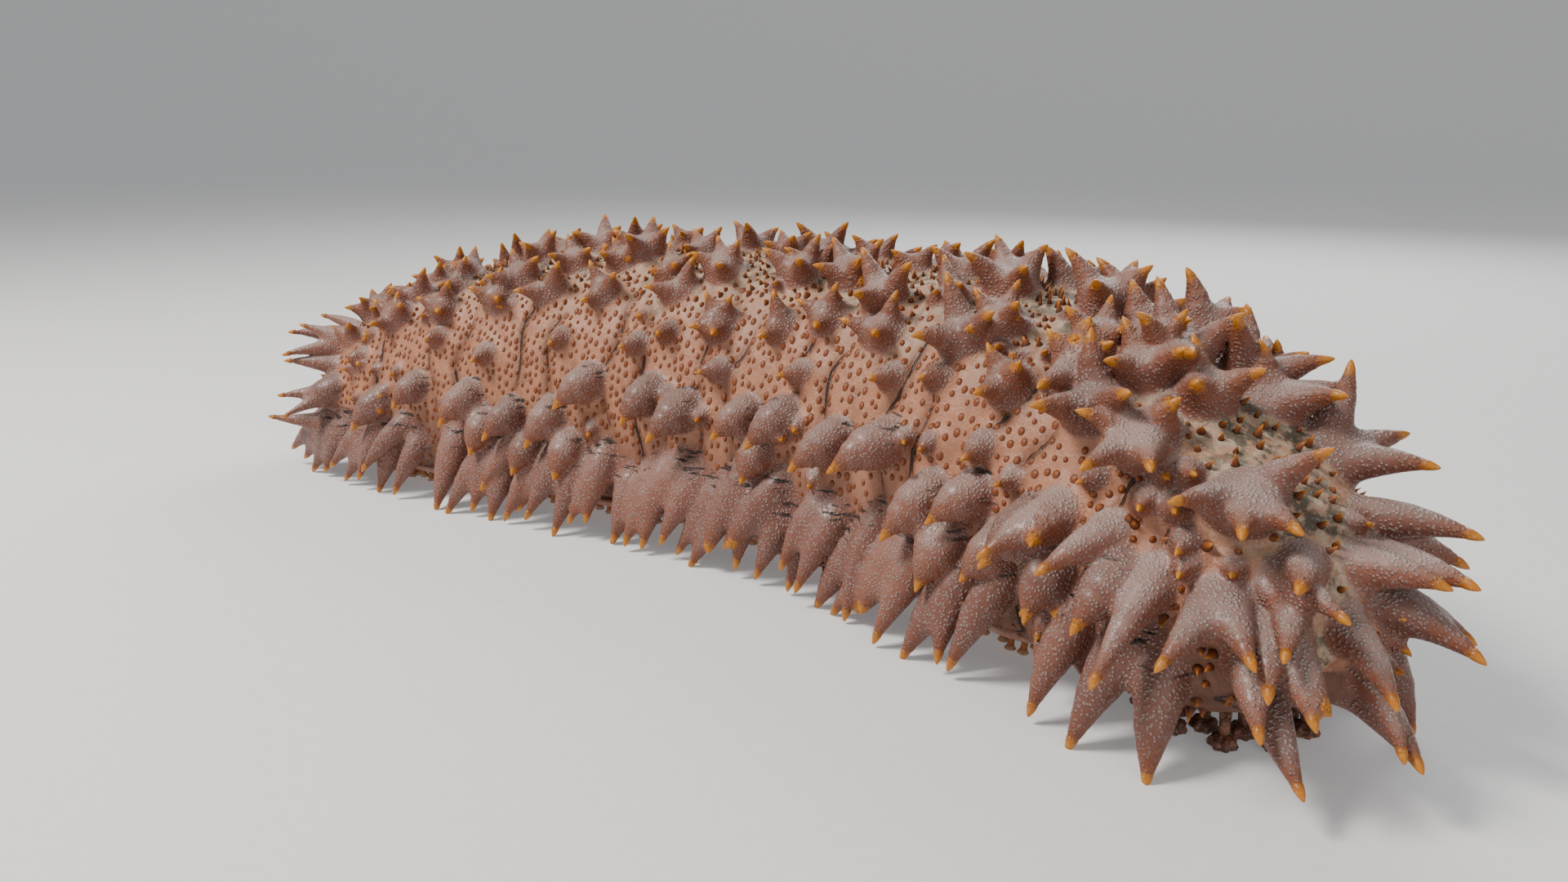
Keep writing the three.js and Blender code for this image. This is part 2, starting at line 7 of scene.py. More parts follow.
import bmesh
import bpy
import math
import numpy as np
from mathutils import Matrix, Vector


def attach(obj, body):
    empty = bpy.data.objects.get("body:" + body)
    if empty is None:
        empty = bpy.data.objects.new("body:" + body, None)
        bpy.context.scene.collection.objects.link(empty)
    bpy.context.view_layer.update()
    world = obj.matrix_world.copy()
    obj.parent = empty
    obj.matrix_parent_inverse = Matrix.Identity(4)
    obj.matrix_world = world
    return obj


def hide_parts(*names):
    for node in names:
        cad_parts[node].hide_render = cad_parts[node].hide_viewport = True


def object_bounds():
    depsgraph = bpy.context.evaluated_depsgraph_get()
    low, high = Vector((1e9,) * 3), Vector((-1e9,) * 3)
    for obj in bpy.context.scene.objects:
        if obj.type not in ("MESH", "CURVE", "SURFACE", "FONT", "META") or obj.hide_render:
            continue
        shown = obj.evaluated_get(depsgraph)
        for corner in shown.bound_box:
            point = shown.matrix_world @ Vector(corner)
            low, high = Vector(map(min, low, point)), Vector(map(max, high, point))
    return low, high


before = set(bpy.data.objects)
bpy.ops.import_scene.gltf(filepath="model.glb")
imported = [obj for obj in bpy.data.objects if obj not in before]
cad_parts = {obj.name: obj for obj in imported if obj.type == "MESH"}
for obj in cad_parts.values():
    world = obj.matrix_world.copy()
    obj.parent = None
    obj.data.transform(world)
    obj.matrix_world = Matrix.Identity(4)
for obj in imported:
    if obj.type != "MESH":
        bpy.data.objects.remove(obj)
cad_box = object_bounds()

# Body, as the skin runs between the papillae
BODY_LENGTH = 448
HALF_WIDTH = 53
BACK_HEIGHT, BELLY_LEVEL = 98, 8
TAIL_NOSE_HEIGHT, HEAD_NOSE_HEIGHT = 24, 28
TAIL_HEADING, HEAD_HEADING, BEND_POWER = 25, -44, 1.7
TAIL_TAPER = dict(width=0.43, height=0.4, width_power=2.1, height_power=1.9)
HEAD_TAPER = dict(width=0.4, height=0.32, width_power=2.3, height_power=2.1)
BELLY_TAPER = 0.07
BACK_SQUARENESS, BELLY_SQUARENESS = 2.15, 4.2
PATH_STEPS = 500
ORIGIN_SHIFT = (-216.2, -49.5)
RIGHT, LEFT = -1, 1

# Stations of the cuts in the solids, and the gap there
CUTS = [0, 0.2, 0.41, 0.62, 0.82, 1]
CUT_GAP = 0.3

# Papillae: how deep a root sinks, in girths; the share of an arm at which it bends; the sizes at the two ends
# of the body; the stations past which arms lean over the ends; and the skin's height over the floor
SINK, KNEE_SHARE = 1.3, 0.34
TAIL_SIZE, HEAD_SIZE, HEAD_GROWTH = 0.9, 1.45, 1.7
TAIL_LEAN, HEAD_LEAN, LEAN_POWER = 0.16, 0.86, 0.8
SKIN_HEM = 0.3

# Creases of the flanks
CREASE_SPACING, CREASE_DEPTH = 15.5, 1.2
CREASE_SWAY, CREASE_RIPPLE = 3.2, 1.8

# Distances over which shapes blend into each other
HANGING_BLEND, UPRIGHT_BLEND, BACK_BLEND, FRINGE_BLEND = 5.5, 4.5, 5.0, 2.6

# Mouth, vent, sole, tube feet and dots
MOUTH_STATION, MOUTH_POCKET_RADIUS, MOUTH_POCKET_TOP = 0.925, 24, 17
VENT_RADIUS, VENT_DEPTH = 5.5, 15
SOLE_ENDS, SOLE_INSET, SOLE_ROUNDING = (0.07, 0.86), 13, 0.06
FOOT_ENDS = 0.078, 0.852
LOWEST_DOT = 11

GRID = 1.15


# The body's centreline and skin

def mix(a, b, share):
    """From a at share 0 to b at share 1."""
    return a + (b - a) * share


def rounded(x):
    return math.floor(x + 0.5)


def heading(u):
    """Direction of the centreline over the floor, in radians, at the share u of the body's length."""
    return np.radians(mix(TAIL_HEADING, HEAD_HEADING, np.clip(u, 0, 1) ** BEND_POWER))


def make_path():
    """Steps of equal length, each along the heading at its middle, added up from the tail."""
    turns = heading((np.arange(PATH_STEPS) + 0.5) / PATH_STEPS)
    steps = np.stack([np.cos(turns), np.sin(turns)], 1) * BODY_LENGTH / PATH_STEPS
    return np.concatenate([[ORIGIN_SHIFT], ORIGIN_SHIFT + np.cumsum(steps, 0)])


PATH = make_path()


def centre(u):
    """The point of the path at u, on the floor: straight between the two nearest steps."""
    place = np.clip(u, 0, 1) * PATH_STEPS
    step = np.minimum(np.floor(place).astype(int), PATH_STEPS - 1)
    share = (place - step)[..., None]
    flat = PATH[step] * (1 - share) + PATH[step + 1] * share
    return np.concatenate([flat, np.zeros_like(flat[..., :1])], -1)


def forward(u):
    """The centreline's direction at u, level."""
    turn = heading(u)
    return np.stack([np.cos(turn), np.sin(turn), np.zeros_like(turn)], -1)


def leftward(u):
    """The direction to the animal's left at u, level."""
    turn = heading(u)
    return np.stack([-np.sin(turn), np.cos(turn), np.zeros_like(turn)], -1)


def end_taper(distance, reach, power):
    """0 at an end and 1 from the reach on, along a quarter of a superellipse."""
    return (1 - (1 - np.clip(distance / reach, 0, 1)) ** power) ** (1 / power)


def tapered(full, u, measure):
    """A full measure of the body, drawn in towards both ends."""
    full = full * end_taper(u, TAIL_TAPER[measure], TAIL_TAPER[measure + "_power"])
    return full * end_taper(1 - u, HEAD_TAPER[measure], HEAD_TAPER[measure + "_power"])


def section(u):
    """Nose height, half width, rise above and drop below the nose height, of the cross-section at u."""
    nose = mix(TAIL_NOSE_HEIGHT, HEAD_NOSE_HEIGHT, u)
    drop = (nose - BELLY_LEVEL) * end_taper(u, BELLY_TAPER, 2) * end_taper(1 - u, BELLY_TAPER, 2)
    return nose, tapered(HALF_WIDTH, u, "width"), tapered(BACK_HEIGHT - nose, u, "height"), drop


def skin(u, angle, side):
    """A superellipse section: across = width * cos^(2/n), up = height * sin^(2/n), with n of its half."""
    u, angle = np.asarray(u, float), np.asarray(angle, float)
    nose, width, rise, drop = section(u)
    above = angle >= 0
    power = 2 / np.where(above, BACK_SQUARENESS, BELLY_SQUARENESS)
    across = width * np.abs(np.cos(np.radians(angle))) ** power
    up = np.where(above, rise, -drop) * np.abs(np.sin(np.radians(angle))) ** power
    point = centre(u) + leftward(u) * (side * across)[..., None]
    point[..., 2] = nose + up
    return point


def unit(v):
    """Vectors brought to length 1."""
    return v / np.maximum(np.linalg.norm(v, axis=-1, keepdims=True), 1e-9)


def skin_frame(u, angle, side):
    """Root point, and the directions along the body, up the flank and out of the skin."""
    root = skin(u, angle, side)
    along = unit(skin(min(u + 0.004, 0.999), angle, side) - skin(max(u - 0.004, 0.001), angle, side))
    upward = unit(skin(u, angle + 2, side) - skin(u, angle - 2, side))
    out = unit(np.cross(along, upward))
    inside = centre(u) + [0, 0, root[2] * 0.6]
    return root, along, upward, out * (1 if out @ (root - inside) >= 0 else -1)


# Papillae: each is a group of arms that share a root on the skin, as in the solids

def make_random(seed):
    """A draw between two bounds, from state = state * 16807 mod (2^31 - 1)."""
    state = [seed]

    def draw(low, high):
        state[0] = (state[0] * 16807) % 2147483647
        return low + (high - low) * state[0] / 2147483647

    return draw


arms = []


def add_arm(group, kind, u, angle, side, turn, lift, length, stalk, girth, curl):
    """Three guide points of a bent cone, kept clear of the floor and of the cuts of the solids."""
    root, along, upward, out = skin_frame(u, angle, side)
    level, spin, rise = math.cos(math.radians(lift)), math.radians(turn), math.sin(math.radians(lift))
    aim = along * level * math.cos(spin) + upward * level * math.sin(spin)
    aim = unit(aim + out * rise)
    top = root + out * stalk
    sunk, knee, tip = root - out * girth * SINK, top + aim * length * KNEE_SHARE, top + aim * length
    tip[2] += curl * length
    index = max(0, sum(u >= cut for cut in CUTS) - 1)
    limits = (sunk, girth, BELLY_LEVEL + 6), (knee, girth, girth * 0.9), (tip, 1.5, 0.2)
    for point, margin, lowest in limits:
        for cut, way in ((index, 1), (index + 1, -1)):
            if 0 < cut < len(CUTS) - 1:
                normal = way * forward(CUTS[cut])
                point += normal * max(0, margin + CUT_GAP - (point - centre(CUTS[cut])) @ normal)
        point[2] = max(point[2], lowest)
    arms.append(dict(group=group, kind=kind, guides=np.array([sunk, knee, tip]), girth=girth))


def end_lean(u):
    """How far arms lean over an end of the body: to -1 at the tail, to 1 at the head, 0 in between."""
    if u < TAIL_LEAN:
        return -(((TAIL_LEAN - u) / TAIL_LEAN) ** LEAN_POWER)
    return ((u - HEAD_LEAN) / (1 - HEAD_LEAN)) ** LEAN_POWER if u > HEAD_LEAN else 0


def size_at(u):
    """Size of the papillae at u, where the middle of the body has 1."""
    return mix(TAIL_SIZE, 1, u / 0.5) if u < 0.5 else mix(1, HEAD_SIZE, ((u - 0.5) / 0.5) ** HEAD_GROWTH)


def low_fringe(side, seed, hands=19):
    """Hands along the edge of the sole, each of one to four fingers that hang to the floor."""
    random = make_random(seed)
    for i in range(hands):
        u = mix(0.045, 0.975, (i + 0.5) / hands) + random(-0.007, 0.007)
        size = size_at(u) * random(0.88, 1.12)
        near_head = u > 0.83
        fingers = rounded(random(0.8, 2.2) if near_head else random(1.7, 4.3))
        sweep = end_lean(u) * 34 - (14 if near_head else 22) + random(-8, 8)
        for finger in range(fingers):
            fan = finger / (fingers - 1) - 0.5 if fingers > 1 else 0
            add_arm(("low", side, i), "hand", u + fan * fingers * 3.9 / BODY_LENGTH, random(0, 9), side,
                    -90 + sweep + fan * 7 * fingers + random(-4, 4), random(6, 18),
                    29 * math.sqrt(size) * random(0.88, 1.08), 2.4, 5.7 * math.sqrt(size), -0.1)


def high_fringe(side, seed, drops=17):
    """Swollen drops above the hands, sometimes paired, that point down and tailwards."""
    random = make_random(seed)
    for i in range(drops):
        u = mix(0.04, 0.95, (i + 0.5) / drops) + random(-0.01, 0.01)
        size = size_at(u) * random(0.8, 1.12)
        twins = 2 if random(0, 1) > 0.6 else 1
        sweep = end_lean(u) * 40 - 28 + random(-10, 10)
        height = 19 + random(-6, 7)
        for twin in range(twins):
            add_arm(("high", side, i), "drop", u + twin * 0.018, height - twin * 9, side,
                    -90 + sweep + twin * 24, random(22, 36), 15 * size * (0.84 if twin else 1), 3,
                    5.8 * math.sqrt(size), -0.16)


# Rows of stars over the back: side, angle, number, and shift along the row in spacings
STAR_ROWS = [(RIGHT, 51, 14, 0), (RIGHT, 67, 15, 0.5), (RIGHT, 82, 14, 0.1),
             (LEFT, 80, 14, 0.6), (LEFT, 65, 15, 0.2), (LEFT, 50, 14, 0.7)]


def back_stars(seed):
    """Stars of two to four arms round one root, in rows over the back."""
    random = make_random(seed)
    for row, (side, row_angle, stars, shift) in enumerate(STAR_ROWS):
        for i in range(stars):
            u = mix(0.06, 0.9, (i + 0.3 + 0.5 * shift) / stars) + random(-0.012, 0.012)
            angle = row_angle + random(-6, 6)
            size = size_at(u) * random(0.76, 1.16)
            count = rounded(random(1.8, 4.3))
            first = random(0, 360)
            for arm in range(count):
                add_arm(("star", row, i), "star", u, angle, side, first + 360 * arm / count + random(-18, 18),
                        random(18, 38), 11 * size * random(0.86, 1.18), 4 * size, 4.9 * math.sqrt(size), 0.08)


# The large stars on and round the head: place, side, lift, and the direction and length of each arm
HEAD_STARS = [
    (0.955, 68, RIGHT, 32, [(-95, 23), (72, 19), (0, 20), (-42, 19)]),
    (0.9, 56, RIGHT, 30, [(-140, 15), (-82, 22), (-30, 20), (60, 11)]),
    (0.835, 60, RIGHT, 28, [(-72, 17), (178, 12), (35, 12), (100, 11)]),
    (0.9, 80, RIGHT, 38, [(170, 12), (40, 14), (-60, 11)]),
    (0.84, 86, RIGHT, 30, [(175, 14), (-5, 15), (90, 11)]),
    (0.905, 76, LEFT, 34, [(-10, 17), (-60, 16), (150, 12)]),
    (0.93, 58, LEFT, 42, [(150, 20), (-30, 20), (-110, 17)]),
    (0.955, 52, LEFT, 46, [(-40, 22)]),
    (0.945, 34, LEFT, 40, [(-75, 21), (10, 16)]),
    (0.972, 48, LEFT, 48, [(-10, 21)]),
    (0.978, 28, LEFT, 45, [(-30, 21), (-80, 17)]),
    (0.975, 30, RIGHT, 36, [(-98, 22), (-20, 19)]),
    (0.99, 40, RIGHT, 40, [(-60, 19)]),
    (0.945, 26, RIGHT, 24, [(-84, 31)]),
    (0.915, 28, RIGHT, 32, [(-110, 20)]),
    (0.875, 24, RIGHT, 34, [(-112, 21), (-75, 11)]),
]


def head_stars():
    """The arms of the stars in the list, each star round its own root."""
    for i, (u, angle, side, lift, spread) in enumerate(HEAD_STARS):
        for turn, length in spread:
            add_arm(("head", i), "star", u, angle, side, turn, lift, length, 4.5, 5.6, -0.02)


def flank_papillae(side, seed, count=11):
    """Small single papillae, far apart, in a row along the flank."""
    random = make_random(seed)
    for i in range(count):
        add_arm(("flank", side, i), "knob", mix(0.08, 0.86, (i + 0.5) / count) + random(-0.025, 0.025),
                random(30, 44), side, random(-150, -70), random(38, 60), random(6, 9), 1.6, 3.8, -0.05)


def end_crown(u, seed, count, lowest, length, girth, towards):
    """Pointed arms, single or in pairs, that radiate from an end of the body."""
    random = make_random(seed)
    for i in range(count):
        around = mix(lowest, 180 - lowest, (i + 0.5) / count)
        pair = 2 if random(0, 1) > 0.55 else 1
        for arm in range(pair):
            add_arm(("crown", seed, i), "star", u + random(-0.008, 0.008),
                    min(around if around <= 90 else 180 - around, 86), RIGHT if around <= 90 else LEFT,
                    towards + arm * 42 + random(-20, 20), random(32, 52), length * random(0.8, 1.15), 3.6,
                    girth * random(0.9, 1.08), -0.03)


def fine_papillae(seed, count, low, high, least, most):
    """Small single papillae, finer than those of the solids, strewn between two stations and two angles."""
    random = make_random(seed)
    for i in range(count):
        u, side = random(low, high), RIGHT if random(0, 1) < 0.5 else LEFT
        size = random(0.7, 1.25) * (0.7 + 0.45 * u)
        angle, turn = random(least, most), -60 + random(-70, 50) + end_lean(u) * 60
        add_arm(("fine", seed, i), "knob", u, angle, side, turn, random(30, 62), 5.4 * size, 0.8, 2.3 * size,
                -0.04)


for side in (RIGHT, LEFT):
    low_fringe(side, 1201 + side)
    high_fringe(side, 2377 + side)
    flank_papillae(side, 3457 + side)
back_stars(4409)
head_stars()
end_crown(0.05, 7307, 10, -12, 21, 4, 180)
end_crown(0.988, 6301, 9, -30, 19, 5.2, -50)
fine_papillae(811, 64, 0.86, 0.995, -24, 62)
fine_papillae(823, 36, 0.02, 0.14, -20, 70)
fine_papillae(839, 80, 0.1, 0.9, 46, 88)
fine_papillae(853, 16, 0.1, 0.9, 6, 30)


# The signed distances, on a grid of points round the animal

def along_body(x, y):
    """The station of the nearest point of the centreline, on past the ends, and the distance to its left."""
    flat = np.stack([x.ravel(), y.ravel()], 1)
    marks = PATH[::4]
    nearest = np.argmin(((flat[:, None] - marks[None]) ** 2).sum(-1), 1) * 4 / PATH_STEPS
    ahead = ((flat - centre(nearest)[:, :2]) * forward(nearest)[:, :2]).sum(1)
    place = nearest + ahead / BODY_LENGTH
    across = ((flat - centre(place)[:, :2]) * leftward(place)[:, :2]).sum(1)
    return place.reshape(x.shape), across.reshape(x.shape)


def halves(place, z):
    """For the half, above or below the nose height, that a point is in: its superellipse power, its height at
    full size, and how much less the height tapers than the width does."""
    u = np.clip(place, 0.002, 0.998)
    nose = mix(TAIL_NOSE_HEIGHT, HEAD_NOSE_HEIGHT, u)
    width, rise, drop = section(u)[1:]
    above = z >= nose
    height = np.where(above, BACK_HEIGHT - nose, nose - BELLY_LEVEL)
    kept = np.where(above, rise, drop) / height * HALF_WIDTH / width
    return nose, np.where(above, BACK_SQUARENESS, BELLY_SQUARENESS), height * kept


def skin_gauge(place, across, z):
    """1 on the skin and less inside: the section's (|across/W|^n + |up/H|^n)^(1/n) joined with K, which grows
    from 0 at a taper's reach to 1 at the end of the body, as (gauge^p + K^p)^(1/p)."""
    nose, power, height = halves(place, z)
    gauge = ((np.abs(across) / HALF_WIDTH) ** power + (np.abs(z - nose) / height) ** power) ** (1 / power)
    to_tail, to_head = 1 - place / TAIL_TAPER["width"], 1 - (1 - place) / HEAD_TAPER["width"]
    end_power = np.where(place < 0.5, TAIL_TAPER["width_power"], HEAD_TAPER["width_power"])
    return (gauge ** end_power + np.maximum(np.maximum(to_tail, to_head), 0) ** end_power) ** (1 / end_power)


def girth_angle(place, across, z):
    """Degrees from the widest line, up over the back at 90 and down to the belly at -90."""
    nose, power, height = halves(place, z)
    vertical = (np.abs(z - nose) / height) ** (power / 2)
    level = (np.abs(across) / HALF_WIDTH) ** (power / 2)
    return np.sign(z - nose) * np.degrees(np.arctan2(vertical, np.maximum(level, 1e-6)))


def fold(u, angle, across):
    """Depth of the creases that run down the flanks: narrow valleys of a wandering wave along the body."""
    s = u * BODY_LENGTH + CREASE_SWAY * np.sin(angle * 0.09 + np.sign(across))
    s = s + CREASE_RIPPLE * np.sin(angle * 0.21 + u * 40)
    phase = np.abs((s / CREASE_SPACING) % 1 - 0.5) * CREASE_SPACING
    strength = np.clip((70 - angle) / 30, 0, 1) * (0.55 + 0.45 * np.sin(u * 61 + angle * 0.05))
    return strength * np.exp(-((phase / 1.3) ** 2)) + 0.25 * np.exp(-((phase / 4.5) ** 2))


def blend(a, b, reach):
    """The smaller of two distances, rounded where they are alike: min - reach/4 * (1 - |a - b|/reach)^2."""
    near = np.clip(1 - np.abs(a - b) / reach, 0, 1)
    return np.minimum(a, b) - near * near * reach / 4


# Girth of an arm at shares of its length, by kind
SHARES = np.array([0, 0.18, 0.36, 0.52, 0.68, 0.82, 0.92, 1])
PROFILES = dict(hand=(0.85, 0.87, 0.88, 0.82, 0.66, 0.44, 0.28, 0.14),
                drop=(0.8, 0.98, 1.12, 1.04, 0.76, 0.46, 0.28, 0.13),
                star=(1.0, 0.96, 0.86, 0.72, 0.54, 0.37, 0.25, 0.13),
                knob=(0.9, 1.0, 1.04, 0.92, 0.68, 0.42, 0.28, 0.16))


def arm_chain(arm):
    """Points along an arm's quadratic curve, and the radii there: the profile of its kind times its girth."""
    t = SHARES[:, None]
    a, b, c = arm["guides"]
    points = a * (1 - t) ** 2 + b * 2 * t * (1 - t) + c * t ** 2
    return points, np.maximum(np.array(PROFILES[arm["kind"]]) * arm["girth"], 0.85)


def arm_distance(arm, points):
    """Distance from each point to the chain of cones, and the share of the arm's length that is nearest."""
    chain, radii = arm_chain(arm)
    best = np.full(points.shape[:-1], 1e3, np.float32)
    place = np.zeros(points.shape[:-1], np.float32)
    for i in range(len(chain) - 1):
        way = chain[i + 1] - chain[i]
        rel = points - chain[i]
        share = np.clip(rel @ way / (way @ way), 0, 1)
        gap = np.linalg.norm(rel - share[..., None] * way, axis=-1) - mix(radii[i], radii[i + 1], share)
        closer = gap < best
        best = np.where(closer, gap, best)
        place = np.where(closer, mix(SHARES[i], SHARES[i + 1], share), place)
    return best, place


groups = {}
for arm in arms:
    groups.setdefault(arm["group"], []).append(arm)


def add_group(field, axes, members, reach):
    """Writes a papilla into the field: its arms blended with each other, in a box of the grid round it."""
    guides = np.concatenate([arm["guides"] for arm in members])
    margin = max(arm["girth"] for arm in members) + 4
    low, high = guides.min(0) - margin, guides.max(0) + margin
    cut = [slice(*np.searchsorted(axis, [lo, hi])) for axis, lo, hi in zip(axes, low, high)]
    spots = np.stack(np.meshgrid(*(axis[part] for axis, part in zip(axes, cut)), indexing="ij"), -1)
    spots = spots.astype(np.float32)
    papilla = arm_distance(members[0], spots)[0]
    for arm in members[1:]:
        papilla = blend(papilla, arm_distance(arm, spots)[0], reach)
    field[tuple(cut)] = np.minimum(field[tuple(cut)], papilla)


def vent_distance(x, y, z):
    """Distance to a cone that narrows from the tail's end into the body."""
    tail, way = centre(0.0), forward(0.0)
    depth = ((x - tail[0]) * way[0] + (y - tail[1]) * way[1])[..., None]
    across = ((x - tail[0]) * way[1] - (y - tail[1]) * way[0])[..., None]
    off = np.sqrt(across ** 2 + (z - TAIL_NOSE_HEIGHT) ** 2)
    return np.maximum(off - VENT_RADIUS * (1 - depth / VENT_DEPTH), depth - VENT_DEPTH)


def animal_field():
    """The body's distance, with the two fields of papillae blended on and the mouth's pocket and vent cut
    out; the grid's axes; and the papillae's own distance."""
    low, high = np.array(cad_box[0]) * 1000 - 3 * GRID, np.array(cad_box[1]) * 1000 + 3 * GRID
    axes = [np.arange(a, b, GRID, dtype=np.float32) for a, b in zip(low, high)]
    x, y = np.meshgrid(axes[0], axes[1], indexing="ij")
    u, across = (part.astype(np.float32)[..., None] for part in along_body(x, y))
    z = axes[2][None, None]
    gauge = skin_gauge(u, across, z).astype(np.float32)
    slope = np.sqrt(sum(part ** 2 for part in np.gradient(gauge, GRID)))
    body = (gauge - 1) / np.maximum(slope, 0.004)
    body = body + CREASE_DEPTH * fold(u, girth_angle(u, across, z), across)
    back = np.full(body.shape, 60, np.float32)
    fringe = back.copy()
    for members in groups.values():
        hanging = members[0]["kind"] in ("hand", "drop")
        add_group(fringe if hanging else back, axes, members, HANGING_BLEND if hanging else UPRIGHT_BLEND)
    field = blend(blend(body, back, BACK_BLEND), fringe, FRINGE_BLEND)
    mouth = centre(MOUTH_STATION)
    pocket = np.hypot(x - mouth[0], y - mouth[1])[..., None] - MOUTH_POCKET_RADIUS
    field = np.maximum(field, -np.maximum(pocket, z - MOUTH_POCKET_TOP))
    field = np.maximum(field, -vent_distance(x, y, z))
    return np.maximum(field, SKIN_HEM - z).astype(np.float32), axes, np.minimum(back, fringe)


def sample(field, axes, points):
    """The field between its grid points, straight in each direction."""
    spot = [(points[:, i] - axes[i][0]) / GRID for i in range(3)]
    base = [np.clip(np.floor(s).astype(int), 0, n - 2) for s, n in zip(spot, field.shape)]
    share = [s - b for s, b in zip(spot, base)]
    total = 0
    for corner in range(8):
        step = [(corner >> i) & 1 for i in range(3)]
        weight = 1
        for s, d in zip(share, step):
            weight = weight * (s if d else 1 - s)
        total = total + weight * field[tuple(b + d for b, d in zip(base, step))]
    return total


def gradient(field, axes, points):
    """The field's slope at points, from differences over a little more than a cell."""
    parts = []
    for i in range(3):
        step = np.zeros(3)
        step[i] = GRID * 0.6
        parts.append((sample(field, axes, points + step) - sample(field, axes, points - step)) / (GRID * 1.2))
    return np.stack(parts, 1)


def onto_zero(field, axes, points, passes, most):
    """Moves points onto the field's zero level: each pass by field / |slope|^2 * slope, most at the most."""
    for _ in range(passes):
        slope = gradient(field, axes, points)
        move = (sample(field, axes, points) / np.maximum((slope ** 2).sum(1), 0.2))[:, None] * slope
        points = points - np.clip(move, -most, most)
    return points


def zero_surface(field, axes):
    """Surface nets: a vertex in each grid cell that the zero level crosses, at the mean of the crossings on
    its edges, and a quad round each grid edge that changes sign."""
    inside = field < 0
    corners = sum(inside[i:i - 1 or None, j:j - 1 or None, k:k - 1 or None].astype(np.uint8)
                  for i in (0, 1) for j in (0, 1) for k in (0, 1))
    active = (corners > 0) & (corners < 8)
    number = np.full(active.shape, -1, np.int64)
    count = int(active.sum())
    number[active] = np.arange(count)
    total, hits, quads = np.zeros((count, 3)), np.zeros(count), []
    for axis in range(3):
        first, second = (axis + 1) % 3, (axis + 2) % 3
        lower, upper = [slice(None)] * 3, [slice(None)] * 3
        lower[axis], upper[axis] = slice(0, -1), slice(1, None)
        edge = np.argwhere(inside[tuple(lower)] != inside[tuple(upper)])
        edge = edge[(edge > 0).all(1) & (edge < np.array(active.shape) - 1).all(1)]
        step = np.eye(3, dtype=int)
        a, b = field[tuple(edge.T)], field[tuple((edge + step[axis]).T)]
        spot = edge + step[axis] * (a / (a - b))[:, None]
        ring = []
        for back_first, back_second in ((1, 1), (0, 1), (0, 0), (1, 0)):
            cell = number[tuple((edge - step[first] * back_first - step[second] * back_second).T)]
            hits += np.bincount(cell, minlength=count)
            total += np.stack([np.bincount(cell, weights=spot[:, i], minlength=count) for i in range(3)], 1)
            ring.append(cell)
        ring = np.stack(ring, 1)
        quads.append(np.where((a < b)[:, None], ring, ring[:, ::-1]))
    points = total / hits[:, None] * GRID + np.array([axis[0] for axis in axes])
    return onto_zero(field, axes, points, 2, GRID * 0.4), np.concatenate(quads)


# Meshes and pieces

def write_mesh(name, points, faces, material, normals=None, fields=None, weld=False):
    """A piece at the origin from points in millimetres and faces of equal size, with its vertex fields. Weld
    joins the points that coincide where a shape closes on itself."""
    mesh = bpy.data.meshes.new(name)
    faces = np.asarray(faces)
    mesh.vertices.add(len(points))
    mesh.vertices.foreach_set("co", (np.asarray(points, np.float32) / 1000).ravel())
    mesh.loops.add(faces.size)
    mesh.loops.foreach_set("vertex_index", faces.ravel().astype(np.int32))
    mesh.polygons.add(len(faces))
    mesh.polygons.foreach_set("loop_start", np.arange(0, faces.size, faces.shape[1], dtype=np.int32))
    mesh.update(calc_edges=True)
    for key, values in (fields or {}).items():
        values = np.asarray(values, np.float32)
        wide = values.ndim > 1
        made = mesh.attributes.new(key, "FLOAT_VECTOR" if wide else "FLOAT", "POINT")
        made.data.foreach_set("vector" if wide else "value", values.ravel())
    if weld:
        shell = bmesh.new()
        shell.from_mesh(mesh)
        bmesh.ops.remove_doubles(shell, verts=shell.verts, dist=1e-6)
        bmesh.ops.dissolve_degenerate(shell, edges=shell.edges, dist=1e-7)
        shell.to_mesh(mesh)
        shell.free()
    mesh.polygons.foreach_set("use_smooth", np.ones(len(mesh.polygons), bool))
    if normals is not None:
        mesh.normals_split_custom_set_from_vertices(unit(normals).astype(np.float32))
    mesh.validate()
    mesh.materials.append(material)
    piece = bpy.data.objects.new(name, mesh)
    bpy.context.scene.collection.objects.link(piece)
    return piece


# Materials

def operator(operation, reflected=False):
    """A method of Value that adds a math node; reflected, the other operand comes first."""
    if reflected:
        return lambda self, other: self.sheet.node("ShaderNodeMath", dict(operation=operation), other, self)
    return lambda self, other: self.math(operation, other)


class Value:
    """A socket of a material, so that sums of values are written as expressions."""

    def __init__(self, sheet, socket):
        self.sheet, self.socket = sheet, socket

    def math(self, operation, *others):
        return self.sheet.node("ShaderNodeMath", dict(operation=operation), self, *others)

    __add__ = __radd__ = operator("ADD")
    __mul__ = __rmul__ = operator("MULTIPLY")
    __sub__, __rsub__ = operator("SUBTRACT"), operator("SUBTRACT", reflected=True)
    __truediv__ = operator("DIVIDE")
    at_least = operator("MAXIMUM")

    def rises(self, low, high):
        """0 below low, 1 above high, and a soft step between; falls instead where low is above high."""
        first, last = (1.0, 0.0) if low > high else (0.0, 1.0)
        return self.sheet.node("ShaderNodeMapRange", dict(interpolation_type="SMOOTHSTEP"), self,
                               min(low, high), max(low, high), first, last)


